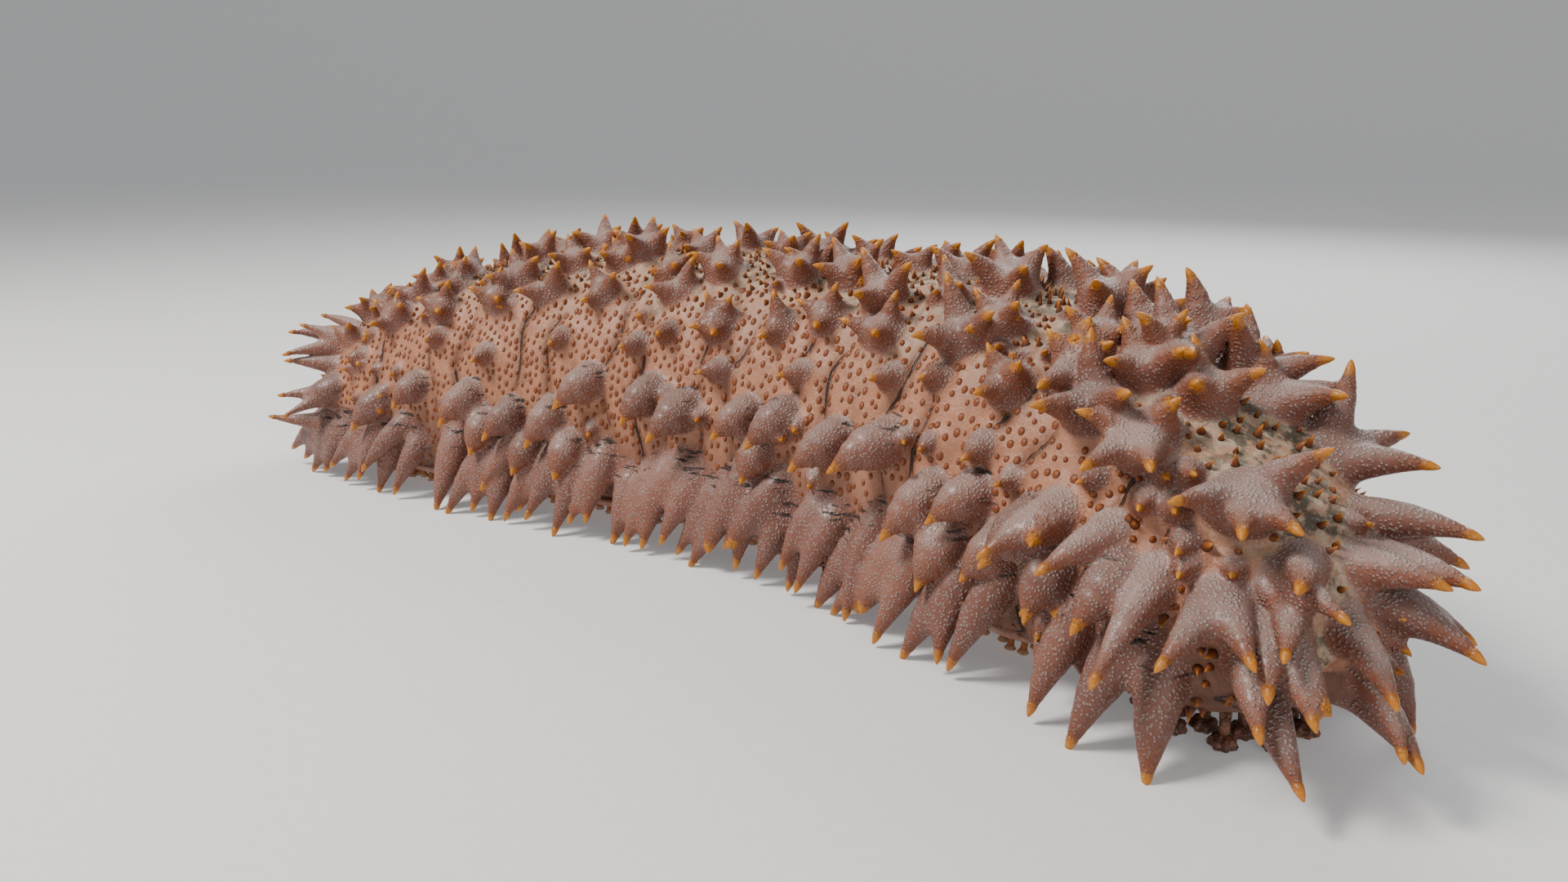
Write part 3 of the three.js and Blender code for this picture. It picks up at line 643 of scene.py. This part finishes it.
class Sheet:
    """The node tree of one material, its shader's constants given by name."""

    def __init__(self, name, **constants):
        self.material = bpy.data.materials.new(name)
        self.material.use_nodes = True
        self.tree = self.material.node_tree
        self.shader = self.tree.nodes["Principled BSDF"]
        self.feed(**constants)

    def put(self, socket, value):
        """Links a value to a socket, or sets a constant there; None leaves the socket as it is."""
        if isinstance(value, Value):
            self.tree.links.new(value.socket, socket)
        elif value is not None:
            socket.default_value = (*value, 1) if socket.type == "RGBA" else value

    def feed(self, **values):
        """Values for the shader's sockets of the same names."""
        for key, value in values.items():
            self.put(self.shader.inputs[key.replace("_", " ")], value)

    def node(self, kind, settings, *inputs, output=0, **named):
        """An output of a new node: its settings first, then values for its sockets, in order or by name."""
        node = self.tree.nodes.new(kind)
        for key, value in settings.items():
            setattr(node, key, value)
        for socket, value in [*zip(node.inputs, inputs), *((node.inputs[key], named[key]) for key in named)]:
            self.put(socket, value)
        return Value(self, node.outputs[output])

    def attribute(self, name, output="Fac"):
        """A vertex field of the piece."""
        return self.node("ShaderNodeAttribute", dict(attribute_name=name), output=output)

    def here(self):
        """The place on the piece, in millimetres."""
        place = self.node("ShaderNodeTexCoord", {}, output="Object")
        return self.node("ShaderNodeVectorMath", dict(operation="SCALE"), place, Scale=1000.0)

    def upward(self):
        """How far the surface faces up, from -1 to 1."""
        normal = self.node("ShaderNodeNewGeometry", {}, output="Normal")
        return self.node("ShaderNodeSeparateXYZ", {}, normal, output="Z")

    def noise(self, where, size, detail=2.0, roughness=0.5):
        """Soft cloudy noise from 0 to 1, with features of a size in millimetres."""
        return self.node("ShaderNodeTexNoise", {}, Vector=where, Scale=1 / size, Detail=detail,
                         Roughness=roughness)

    def cells(self, where, size):
        """Distance, in cells, to the nearest of scattered points, one to a cell of a size in millimetres."""
        return self.node("ShaderNodeTexVoronoi", dict(feature="F1"), Vector=where, Scale=1 / size,
                         output="Distance")

    def blend(self, amount, under, over):
        """A colour over another by an amount from 0 to 1, in the node's first, seventh and eighth sockets."""
        return self.node("ShaderNodeMix", dict(data_type="RGBA"), amount, *[None] * 5, under, over, output=2)

    def paint(self, colour, *coats):
        """A colour under coats, each an amount from 0 to 1 and a colour."""
        for amount, over in coats:
            colour = self.blend(amount, colour, over)
        return colour

    def finish(self, colour, roughness, height, depth):
        """The material, with bump from a height from 0 to 1 that stands for a depth in millimetres."""
        bump = self.node("ShaderNodeBump", {}, Height=height, Distance=depth / 1000, Strength=1.0)
        self.feed(Base_Color=colour, Roughness=roughness, Normal=bump)
        return self.material


FLESH, FLESH_SHADE, DEEP_SHADE = (0.40, 0.175, 0.098), (0.26, 0.104, 0.06), (0.075, 0.030, 0.020)
# The second colour is a dark mossy tint that is partly painted shade between the stars of the back
SAND, MOSS_AND_SHADE = (0.46, 0.36, 0.255), (0.036, 0.044, 0.032)
# The palest colour here serves the pale specks and also a painted highlight on the upward faces of the
# papillae
MAUVE, ROSE, FROST_AND_HIGHLIGHT = (0.140, 0.056, 0.041), (0.25, 0.096, 0.062), (0.52, 0.455, 0.415)
# Near black, painted shade in the creases of the flanks and at the roots of the fringe
CREASE_SHADE = (0.014, 0.011, 0.010)
AMBER_ROOT, AMBER, AMBER_GLINT = (0.30, 0.095, 0.018), (0.47, 0.165, 0.010), (0.72, 0.42, 0.06)
RUST_RIM, RUST, RUST_FLECK = (0.045, 0.014, 0.006), (0.20, 0.050, 0.012), (0.34, 0.11, 0.026)
SOLE_PINK, SOLE_PALE = (0.56, 0.30, 0.235), (0.64, 0.43, 0.35)
FOOT_ORANGE, SUCKER = (0.56, 0.22, 0.085), (0.70, 0.47, 0.30)
TENTACLE, TENTACLE_PATCH, TENTACLE_SPECK = (0.105, 0.045, 0.03), (0.26, 0.115, 0.07), (0.50, 0.33, 0.22)
PAPER_SHADE, PAPER = (0.70, 0.69, 0.67), (0.72, 0.71, 0.69)


def crease_phase(along, side, angle):
    """Distance to the nearest crease, in millimetres, by the formula of fold."""
    wander = along + CREASE_SWAY * (angle * 0.09 + side.math("SIGN")).math("SINE")
    wander = wander + CREASE_RIPPLE * (angle * 0.21 + along * (40 / BODY_LENGTH)).math("SINE")
    return ((wander / CREASE_SPACING).math("FRACT") - 0.5).math("ABSOLUTE") * CREASE_SPACING


def skin_finish():
    """Pinkish flesh, sandy over the back, with a dark mossy tint there that is partly painted shade between
    the stars; mauve papillae with a net of pale specks, a painted highlight where they face upward, and amber
    tips;
    and painted shade low on the flanks under the fringe, in the creases down the flanks and at the roots of
    the fringe."""
    s = Sheet("sea_cucumber_skin", IOR=1.38, Subsurface_Weight=0.1, Subsurface_Radius=(1.0, 0.45, 0.3),
              Subsurface_Scale=0.003)
    here, up, run = s.here(), s.upward(), s.attribute("run", "Vector")
    along, side, angle = (s.node("ShaderNodeSeparateXYZ", {}, run, output=axis) for axis in "XYZ")
    papilla, tip, share = s.attribute("papilla"), s.attribute("tip"), s.attribute("share")
    hangs, tone = s.attribute("hangs"), s.attribute("tone")
    cloud, mottle = s.noise(here, 22, 3.0), s.noise(here, 5, 3.0, 0.6)
    grain = s.noise(here, 0.9, 2.0, 0.6)

    back = (angle + (cloud - 0.5) * 50).rises(38, 74)
    sandy = 0.35 + 0.6 * s.noise(here, 3.2, 3.0, 0.7).rises(0.42, 0.6)
    # Dark mossy tint over the back, partly painted shade between the stars
    moss_and_shade = (angle + (cloud - 0.5) * 70).rises(52, 78) * mottle.rises(0.44, 0.58)
    phase = crease_phase(along, side, angle)
    depth = (0.55 + 0.45 * (along * (61 / BODY_LENGTH) + angle * 0.05).math("SINE")) * angle.rises(70, 40)
    skin_colour = s.paint(
        FLESH,
        (mottle.rises(0.42, 0.7) * 0.55, FLESH_SHADE),
        (back * sandy, SAND),
        (moss_and_shade * 0.8, MOSS_AND_SHADE),
        (grain.rises(0.58, 0.72) * (0.25 + 0.3 * back), FROST_AND_HIGHLIGHT),
        (grain.rises(0.42, 0.3) * 0.45, FLESH_SHADE),
        # Painted shade: darker low on the flank under the fringe, and in the broad pleats of the creases
        ((angle + (mottle - 0.5) * 20).rises(17, -4) * 0.75, DEEP_SHADE),
        (phase.rises(5.5, 0.5) * depth * 0.55, DEEP_SHADE),
    )

    specks = s.cells(here, 0.98)
    # Painted highlight: paler where a papilla faces upward, more on some papillae than others and less on the
    # hanging ones of the fringe; the pale specks show more there too
    top = (up + (mottle - 0.5) * 0.5).rises(0.1, 0.95) * (0.45 + 0.4 * tone) * (1 - hangs * 0.45)
    papilla_colour = s.paint(
        MAUVE,
        (tone * 0.7 + mottle * 0.3, ROSE),
        (specks.rises(0.52, 0.22) * (0.34 + 0.46 * top), FROST_AND_HIGHLIGHT),
        (top * 0.44, FROST_AND_HIGHLIGHT),
    )

    # Painted shade: near-black lines along the crease valleys, broken up by noise, and streaks over the roots
    # of the hands and drops
    broken = s.noise(here, 12, 2.0).rises(0.36, 0.47)
    crease = phase.rises(0.75, 0.25) * broken * depth.rises(0.15, 0.75) * papilla.rises(0.6, 0.2)
    stretched = s.node("ShaderNodeVectorMath", dict(operation="MULTIPLY"), here, (0.35, 0.35, 2.2))
    root = papilla.rises(0.05, 0.4) * share.rises(0.47, 0.3) * hangs.rises(0.1, 0.4) * up.rises(-0.5, 0.4)
    root_crease_shade = root * s.noise(stretched, 3.0, 3.0).rises(0.56, 0.64)
    colour = s.paint(
        skin_colour,
        (papilla.rises(0.25, 0.85), papilla_colour),
        (tip.rises(7.5, 2.0) * papilla * 0.6, RUST),
        (tip.rises(2.5, 0.9) * papilla * 0.9, AMBER),
        (crease.at_least(root_crease_shade) * 0.92, CREASE_SHADE),
    )

    roughness = 0.34 + 0.22 * grain + 0.14 * back - 0.1 * papilla
    skin_bump = mottle * 0.45 + grain * 0.25 - crease * 0.6
    papilla_bump = specks.rises(0.55, 0.1) * 0.55 + grain * 0.12
    return s.finish(colour, roughness, skin_bump * (1 - papilla) + papilla_bump * papilla * 0.8, 0.9)


def amber_finish():
    """Horny amber, paler towards the point."""
    s = Sheet("amber_papilla_tip", IOR=1.45, Subsurface_Weight=0.15, Subsurface_Scale=0.002)
    here, share = s.here(), s.attribute("share")
    colour = s.paint(
        AMBER_ROOT,
        (share.rises(0.0, 0.6), AMBER),
        (s.noise(here, 0.7).rises(0.5, 0.75) * 0.4, AMBER_GLINT),
    )
    return s.finish(colour, 0.32 + 0.16 * s.noise(here, 1.1), s.noise(here, 0.6, 3.0), 0.12)


def dot_finish():
    """Rust-brown warts with a darker rim; those that rise to a cone on the back end in amber."""
    s = Sheet("rust_skin_dot", IOR=1.42, Subsurface_Weight=0.08, Subsurface_Scale=0.002)
    here, share, cone = s.here(), s.attribute("share"), s.attribute("cone")
    colour = s.paint(
        RUST_RIM,
        (share.rises(0.12, 0.55), RUST),
        (s.noise(here, 1.1).rises(0.4, 0.7) * share * 0.4, RUST_FLECK),
        (cone * share.rises(0.45, 0.95), AMBER),
    )
    return s.finish(colour, 0.36 + 0.2 * s.noise(here, 0.8), s.noise(here, 0.5, 3.0), 0.08)


def sole_finish():
    """Soft pink underside, mottled paler, with fine wrinkles."""
    s = Sheet("soft_sole", IOR=1.38, Subsurface_Weight=0.12, Subsurface_Scale=0.003)
    here = s.here()
    mottle, grain = s.noise(here, 7, 3.0, 0.6), s.noise(here, 1.4, 3.0, 0.6)
    colour = s.paint(
        SOLE_PINK,
        (mottle.rises(0.38, 0.68), SOLE_PALE),
        (grain.rises(0.55, 0.75) * 0.5, FLESH_SHADE),
    )
    return s.finish(colour, 0.42 + 0.2 * grain, s.cells(here, 2.6) * 0.6 + grain * 0.4, 0.5)


def foot_finish():
    """Orange-brown tube feet with pale suckers."""
    s = Sheet("tube_foot", IOR=1.38, Subsurface_Weight=0.15, Subsurface_Scale=0.002)
    here = s.here()
    height = s.node("ShaderNodeSeparateXYZ", {}, here, output="Z")
    colour = s.paint(
        FOOT_ORANGE,
        (height.rises(1.6, 0.9), SUCKER),
        (s.noise(here, 1.0).rises(0.5, 0.7) * 0.5, RUST),
    )
    return s.finish(colour, 0.38 + 0.2 * s.noise(here, 0.9), s.noise(here, 0.7, 3.0), 0.15)


def mouth_finish():
    """Dark brown feeding tentacles with lighter patches and pale specks."""
    s = Sheet("feeding_tentacle", IOR=1.4, Subsurface_Weight=0.1, Subsurface_Scale=0.002)
    here = s.here()
    mottle, specks = s.noise(here, 2.4, 3.0, 0.6), s.cells(here, 0.9)
    colour = s.paint(
        TENTACLE,
        (mottle.rises(0.4, 0.66), TENTACLE_PATCH),
        (specks.rises(0.34, 0.14) * 0.6, TENTACLE_SPECK),
    )
    return s.finish(colour, 0.36 + 0.22 * mottle, specks * 0.7 + mottle * 0.3, 0.3)


def studio_finish():
    """Matt pale paper that glows a little, so that the backdrop stays even."""
    s = Sheet("pale_studio", Emission_Color=(0.95, 0.97, 1), Emission_Strength=0.17)
    here = s.here()
    colour = s.blend(s.noise(here, 4).rises(0.3, 0.7), PAPER_SHADE, PAPER)
    return s.finish(colour, 0.9, s.noise(here, 0.8), 0.02)


def raised(points, lowest):
    """Points with those below a height lifted to it."""
    points[:, 2] = np.maximum(points[:, 2], lowest)
    return points


def ride(piece, slot, *nodes):
    """Puts a piece of the animal under the root body and hides the solids that it replaces; slot is not used.
    """
    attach(piece, "root")
    if nodes:
        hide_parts(*nodes)


# The skin, in four lengths that share their normals, so that no seam shows

field, axes, papillae = animal_field()
points, quads = zero_surface(field, axes)
normals = gradient(field, axes, points)


def papilla_fields(points):
    """For each point: how much it belongs to a papilla, from 1 on one to 0 at 2.5 mm; the distance to the
    nearest arm's tip, greater on a slim one, and the share of its length; whether that is a hand (1) or a
    drop (0.5) of the fringe; and the papilla's own random tone."""
    near, tip = np.full(len(points), 12.0), np.full(len(points), 99.0)
    share, hangs, tone = np.zeros((3, len(points)))
    draw, tones = make_random(9001), {}
    for arm in arms:
        tones.setdefault(arm["group"], draw(0, 1))
        low, high = arm["guides"].min(0) - arm["girth"] - 6, arm["guides"].max(0) + arm["girth"] + 6
        here = np.flatnonzero(((points > low) & (points < high)).all(1))
        gap, place = arm_distance(arm, points[here])
        won = gap < near[here]
        here, length = here[won], np.linalg.norm(arm["guides"][2] - arm["guides"][1]) / (1 - KNEE_SHARE)
        near[here], share[here] = gap[won], place[won]
        tip[here] = (1 - place[won]) * length / np.clip(arm["girth"] / 5.2, 0.45, 1.15)
        hangs[here] = dict(hand=1, drop=0.5).get(arm["kind"], 0)
        tone[here] = tones[arm["group"]]
    mask = np.clip(1 - sample(papillae, axes, points) / 2.5, 0, 1)
    return dict(papilla=mask * mask * (3 - 2 * mask), tip=tip, share=share, hangs=hangs, tone=tone)


def run_places(points):
    """For each point: how far it lies along the body and, to the left or right, round it from the ridge, and
    its angle in the section; and its station."""
    place, across = along_body(points[:, 0], points[:, 1])
    angle = girth_angle(place, across, points[:, 2])
    run = np.stack([place * BODY_LENGTH, np.sign(across) * (90 - angle), angle], 1)
    return run, np.clip(place, 0.002, 0.998)


def write_part(name, points, faces, chosen, material, fields, normals=None):
    """A piece of the chosen faces alone, with the points that they use."""
    used, kept = np.unique(faces[chosen], return_inverse=True)
    return write_mesh(name, points[used], kept.reshape(-1, faces.shape[1]), material,
                      None if normals is None else normals[used], {key: fields[key][used] for key in fields})


run, station = run_places(points)
fields = dict(papilla_fields(points), run=run)
skin_material = skin_finish()
middle = station[quads].mean(1)
for name, low, high, nodes in [("skin_rear", -9, CUTS[2], ("tail_end", "body_rear")),
                               ("skin_middle", CUTS[2], CUTS[3], ("body_middle",)),
                               ("skin_front", CUTS[3], CUTS[4], ("body_front",)),
                               ("skin_head", CUTS[4], 9, ("head_end",))]:
    chosen = (middle >= low) & (middle < high)
    ride(write_part(name, points, quads, chosen, skin_material, fields, normals), "skin", *nodes)


# Shapes of revolution and tubes

def rings_to_quads(shape):
    """Points, and quads between each ring and the next, of one or many stacks of rings."""
    index = np.arange(shape.size // 3).reshape(shape.shape[:-1])
    here, there = index[..., :-1, :], index[..., 1:, :]
    faces = np.stack([here, np.roll(here, -1, -1), np.roll(there, -1, -1), there], -1)
    return shape.reshape(-1, 3), faces.reshape(-1, 4)


def tubes(paths, radii, sides):
    """Many tubes at once: a ring of points round each point of each path, at its radius. Radii may be shared
    by all the tubes, and may differ round a ring."""
    tangent = unit(np.gradient(paths, axis=1))
    across = unit(np.cross(tangent, [0.31, 0.22, 0.93]))
    over = np.cross(tangent, across)
    turn = (2 * np.pi * np.arange(sides) / sides)[:, None]
    ring = across[:, :, None] * np.cos(turn) + over[:, :, None] * np.sin(turn)
    radii = radii[..., None, None] if radii.ndim == 2 else radii[..., None]
    return rings_to_quads(paths[:, :, None] + radii * ring)


def turned(profile, sides):
    """A profile of radii and heights, from the top down the outside, turned about the upright axis."""
    radii, heights = np.array(profile, float).T[..., None]
    turn = -2 * np.pi * np.arange(sides) / sides
    return rings_to_quads(np.stack([radii * np.cos(turn), radii * np.sin(turn), heights + 0 * turn], -1))


# Tips of the papillae: a cone over each arm's end, its root inside the arm
TIP_REACH = np.array([-3.2, -2.4, -1.2, 0.0, 0.9, 1.3])
TIP_RADII = np.array([0, 1.25, 1.15, 0.8, 0.36, 0])
TIP_SHARES = [0, 0, 0.3, 0.65, 0.9, 1]
TIP_SIDES, TIP_FLOOR = 8, 0.05
ends = np.array([arm["guides"][2] for arm in arms])
ways = unit(ends - np.array([arm["guides"][1] for arm in arms]))
sizes = np.array([arm["girth"] / 5 for arm in arms])[:, None] ** 0.7
tip_paths = ends[:, None] + ways[:, None] * (TIP_REACH * sizes)[..., None]
tip_points, tip_faces = tubes(tip_paths, TIP_RADII * sizes, TIP_SIDES)
tip_fields = dict(share=np.tile(np.repeat(TIP_SHARES, TIP_SIDES), len(arms)))
ride(write_mesh("papilla_tips", raised(tip_points, TIP_FLOOR), tip_faces, amber_finish(), fields=tip_fields,
                weld=True), "skin")


# The sole: a soft slab under the body between the stations of the solids, and its tube feet

def sole_half_width(u):
    """The body's half width less an inset, rounded off to nothing over the last of the length at each end."""
    rear, front = (end_taper(gap, SOLE_ROUNDING, 2) for gap in (u - SOLE_ENDS[0], SOLE_ENDS[1] - u))
    return (section(u)[1] - SOLE_INSET) * rear * front


def sole_surface(rings=160, points=48):
    """Closed rings across the body: a flat top, and an underside that curls up at its edges and dips a little
    between the bands of feet; the two ends close on their middles."""
    u = mix(*SOLE_ENDS, 0.5 - 0.5 * np.cos(np.pi * np.linspace(0, 1, rings)))
    around = -2 * np.pi * np.arange(points) / points
    flat = np.sign(np.cos(around)) * np.abs(np.cos(around)) ** 0.35
    lift = np.sign(np.sin(around)) * np.abs(np.sin(around)) ** 0.5
    wide = np.ones((rings, 1))
    wide[[0, -1]] = 0
    across = sole_half_width(u)[:, None] * flat * wide
    wrinkle = 0.25 * np.cos(across * 0.25) * np.minimum(lift, 0) * np.sin(u * 170)[:, None]
    shape = centre(u)[:, None] + leftward(u)[:, None] * across[..., None]
    shape[..., 2] = np.clip(5.7 + 2.0 * lift * wide + wrinkle, 3.6, 7.7)
    return rings_to_quads(shape)


ride(write_mesh("sole_skin", *sole_surface(), sole_finish(), weld=True), "sole",
     "sole_rear", "sole_middle", "sole_front")


def foot_places(rows, each):
    """Roots of the tube feet: rows at shares of the sole's half width, each foot a little off its place."""
    wobble = np.random.default_rng(71).uniform(-1, 1, (2, len(rows), each))
    shift = np.arange(len(rows))[:, None] * 0.5 / each * 0.9
    u = mix(*FOOT_ENDS, (np.arange(each) + 0.5) / each + shift)
    u = np.clip(u + wobble[0] * 0.0022, FOOT_ENDS[0] + 0.001, FOOT_ENDS[1] - 0.001)
    share = np.array(rows)[:, None] + wobble[1] * 0.035
    spot = centre(u) + leftward(u) * (share * sole_half_width(u))[..., None]
    return spot.reshape(-1, 3)


FOOT_ROWS, FEET_IN_ROW = (-0.86, -0.74, -0.62, -0.16, -0.03, 0.1, 0.62, 0.74, 0.86), 58
FOOT_HEIGHTS = np.array([5.2, 3.8, 2.4, 1.2, 0.55, 0, 0])
FOOT_RADII = np.array([[0, 1.05, 0.95, 1.1, 1.75, 1.6, 0]])
feet = foot_places(FOOT_ROWS, FEET_IN_ROW)
lean = np.random.default_rng(72).uniform(-0.9, 0.9, (len(feet), 1, 2))
foot_paths = np.repeat(feet[:, None], len(FOOT_HEIGHTS), 1)
foot_paths[..., 2] = FOOT_HEIGHTS
foot_paths[..., :2] += lean * (1 - FOOT_HEIGHTS[None, :, None] / FOOT_HEIGHTS[0])
foot_points, foot_faces = tubes(foot_paths, FOOT_RADII, 8)
ride(write_mesh("tube_feet", raised(foot_points, 0), foot_faces, foot_finish(), weld=True), "sole")

# The mouth: a disc with a dimple in the pocket under the head, and twenty tentacles with lobed shields
MOUTH_PROFILE = [(0, 16.7), (14, 16.7), (14.2, 11), (13.6, 8.4), (11.5, 7.2), (7, 6.9), (4.2, 7.3),
                 (2.4, 8.8), (1.5, 11), (0, 11.6)]
mouth_material = mouth_finish()
mouth_at = centre(MOUTH_STATION)
disc, disc_faces = turned(MOUTH_PROFILE, 48)
ride(write_mesh("mouth_disc", disc + mouth_at, disc_faces, mouth_material, weld=True), "mouth",
     "mouth_tentacles")


def tentacles(count=20, lobes=7, rim=28):
    """Stalks bent out and down from the disc, each with a flat shield whose rim swells in lobes."""
    turn = 2 * np.pi * np.arange(count) / count
    outer = np.arange(count) % 2 == 0
    reach = np.where(outer, 19.6, 14.2)
    way = np.stack([np.cos(turn), np.sin(turn), 0 * turn], 1)
    radius = np.stack([0 * reach + 10, 0 * reach + 12, (12 + reach) / 2, reach - 0.4, reach, reach], 1)
    stalk = mouth_at + way[:, None] * radius[..., None]
    stalk[..., 2] = [12.5, 11.8, 10.4, 7.6, 4.6, 3.4]
    shield = np.repeat((mouth_at + way * reach[:, None])[:, None], 7, 1)
    shield[..., 2] = np.where(outer, 0.0, 0.7)[:, None] + [4.2, 3.9, 3.2, 2.1, 1.0, 0.3, 0.25]
    swell = 1 + 0.16 * np.cos(lobes * 2 * np.pi * np.arange(rim) / rim)
    shield_radii = np.array([0, 1.5, 2.7, 3.3, 3.0, 1.9, 0])[None, :, None] * swell
    return tubes(stalk, np.array([[0, 1.7, 1.6, 1.4, 1.3, 0]]), 12), tubes(shield, shield_radii, rim)


for name, (shape, faces) in zip(("tentacle_stalks", "tentacle_shields"), tentacles()):
    ride(write_mesh(name, shape, faces, mouth_material, weld=True), "mouth")


# Dots: the warts of the skin, set close over the back and flanks, drawn onto the skin's own surface

def dot_centres():
    """A staggered net on the unrolled skin, each dot a little off its place: station, angle and side."""
    random = np.random.default_rng(40)
    rows = []
    s, stagger = 4.0, 0
    while s < BODY_LENGTH - 2:
        u = s / BODY_LENGTH
        gap = mix(3.2, 4.7, u)
        bends = np.linspace(90, -62, 150)
        girth = skin(np.full(150, u), bends, LEFT)
        arc = np.concatenate([[0], np.cumsum(np.linalg.norm(np.diff(girth, axis=0), axis=-1))])
        for side in (RIGHT, LEFT):
            steps = np.arange(gap * (0.25 + 0.5 * stagger), arc[-1], gap * 1.02)
            off = random.uniform(-0.27, 0.27, (2, len(steps))) * gap
            rows.append(np.stack([(s + off[0]) / BODY_LENGTH, np.interp(steps + off[1], arc, bends),
                                  np.full(len(steps), side)], 1))
        stagger = 1 - stagger
        s += gap * 0.86
    return np.concatenate(rows)


def onto_skin(points, passes):
    """Points moved onto the skin, and its outward direction there."""
    points = onto_zero(field, axes, points, passes, 1.5)
    return points, unit(gradient(field, axes, points))


# Levels of a dot from its rim, sunk into the skin, to its shoulder: share of its radius, and height
DOT_LEVELS = ((1.0, -0.35), (0.72, 0.16), (0.3, 0.42))
DOT_SHARES = (0.0, 0.33, 0.72)
DOT_LENGTHENING = 1.42


def skin_dots(rim=9):
    """Caps of a rim, two rings and a top, oval up the flank, cones on the back and the head."""
    spots = dot_centres()
    random = np.random.default_rng(41)
    u, angle, side = spots.T
    base = np.empty((len(spots), 3))
    for which in (RIGHT, LEFT):
        chosen = side == which
        base[chosen] = skin(np.clip(u[chosen], 0.004, 0.996), angle[chosen], which)
    base, out = onto_skin(base, 4)
    bare = papilla_fields(base)["papilla"] < 0.45
    kept = bare & (base[:, 2] > LOWEST_DOT) & (random.uniform(0, 1, len(base)) > 0.07)
    base, out, u, angle = base[kept], out[kept], u[kept], angle[kept]
    count = len(base)
    size = mix(0.98, 1.5, u) * random.uniform(0.62, 1.1, count) * np.where(angle > 62, 0.82, 1)
    rise = np.clip((angle - 58 + random.uniform(-14, 14, count)) / 16, 0, 1)
    rise = np.maximum(rise, np.clip((u - 0.88) / 0.07, 0, 1) * random.uniform(0, 1, count)) * size
    flank = unit(np.cross(out, unit(np.cross([0, 0, 1.0], out) + 1e-6)))
    level = np.cross(flank, out)
    round_off = np.clip((u - 0.6) / 0.3, 0, 1) + np.clip((angle - 55) / 20, 0, 1)
    long = size * mix(DOT_LENGTHENING, 1.0, round_off).clip(1, DOT_LENGTHENING)
    turn = 2 * np.pi * np.arange(rim) / rim
    levels = []
    for share, height in DOT_LEVELS:
        ring = (level[:, None] * (size * share)[:, None, None] * np.cos(turn)[:, None]
                + flank[:, None] * (long * share)[:, None, None] * np.sin(turn)[:, None])
        flat, way = onto_skin((ring + base[:, None]).reshape(-1, 3), 2)
        lift = height + rise * (1 - share) ** 1.4 * 2.3 * (height > 0)
        levels.append(flat + way * np.repeat(lift, rim)[:, None])
    shape = np.concatenate(levels + [base + out * (0.5 + rise * 2.6)[:, None]])
    index = np.arange(3 * count * rim).reshape(3, count, rim)
    following = np.roll(index, -1, 2)
    tops = np.repeat(3 * count * rim + np.arange(count)[:, None], rim, 1)
    faces = []
    for low, high in ((0, 1), (1, 2)):
        faces.append(np.stack([index[low], following[low], following[high]], -1))
        faces.append(np.stack([index[low], following[high], index[high]], -1))
    faces.append(np.stack([index[2], following[2], tops], -1))
    cone = np.clip(rise, 0, 1)
    shares = [np.full(count * rim, share) for share in DOT_SHARES]
    values = dict(share=np.concatenate(shares + [np.ones(count)]),
                  cone=np.concatenate([np.repeat(cone, rim)] * 3 + [cone]),
                  station=np.concatenate([np.repeat(u, rim)] * 3 + [u]))
    return shape, np.concatenate([face.reshape(-1, 3) for face in faces]), values


dots, dot_faces, dot_fields = skin_dots()
dot_material = dot_finish()
dot_station = dot_fields.pop("station")[dot_faces].mean(1)
for name, chosen in (("skin_dots_rear", dot_station < 0.5), ("skin_dots_front", dot_station >= 0.5)):
    ride(write_part(name, dots, dot_faces, chosen, dot_material, dot_fields), "skin")


# Floor, lights and camera

FLOOR_RADIUS, BOWL_RADIUS = 3400, 1900
bowl_wall = [(FLOOR_RADIUS + BOWL_RADIUS * math.sin(a), BOWL_RADIUS - BOWL_RADIUS * math.cos(a))
             for a in np.linspace(1.45, 0.1, 12)]
bowl, bowl_faces = turned(bowl_wall + [(FLOOR_RADIUS, 0), (1500, 0), (0, 0)], 96)
floor = write_mesh("floor", bowl, bowl_faces[:, ::-1], studio_finish())


def add_light(name, place, size, power, colour):
    """A square area light that faces the middle of the animal."""
    data = bpy.data.lights.new(name, "AREA")
    data.size, data.energy, data.color = size, power, colour
    light = bpy.data.objects.new(name, data)
    light.location = place
    light.rotation_euler = (Vector((0, 0, 0.04)) - Vector(place)).to_track_quat("-Z", "Y").to_euler()
    bpy.context.scene.collection.objects.link(light)


add_light("key", (-0.45, -0.6, 1.0), 0.35, 19, (1, 0.97, 0.93))
add_light("fill", (0.9, -0.5, 0.5), 0.9, 3, (1, 1, 1))
add_light("back", (-0.1, 1.0, 0.8), 0.7, 9, (1, 1, 1))
world = bpy.data.worlds.new("studio")
world.use_nodes = True
sky = world.node_tree.nodes["Background"]
sky.inputs["Color"].default_value = (0.92, 0.95, 1, 1)
sky.inputs["Strength"].default_value = 0.24
bpy.context.scene.world = world

FOCAL_LENGTH_PX, FRAME_WIDTH_PX, SENSOR_WIDTH = 1351.6, 1920, 36
camera_data = bpy.data.cameras.new("camera")
camera_data.sensor_width = SENSOR_WIDTH
camera_data.lens = FOCAL_LENGTH_PX / FRAME_WIDTH_PX * SENSOR_WIDTH
camera = bpy.data.objects.new("camera", camera_data)
camera.location = (0.249, -0.297, 0.1433)
camera.rotation_euler = Vector((-0.6048, 0.7479, -0.2736)).to_track_quat("-Z", "Y").to_euler()
bpy.context.scene.collection.objects.link(camera)
bpy.context.scene.camera = camera
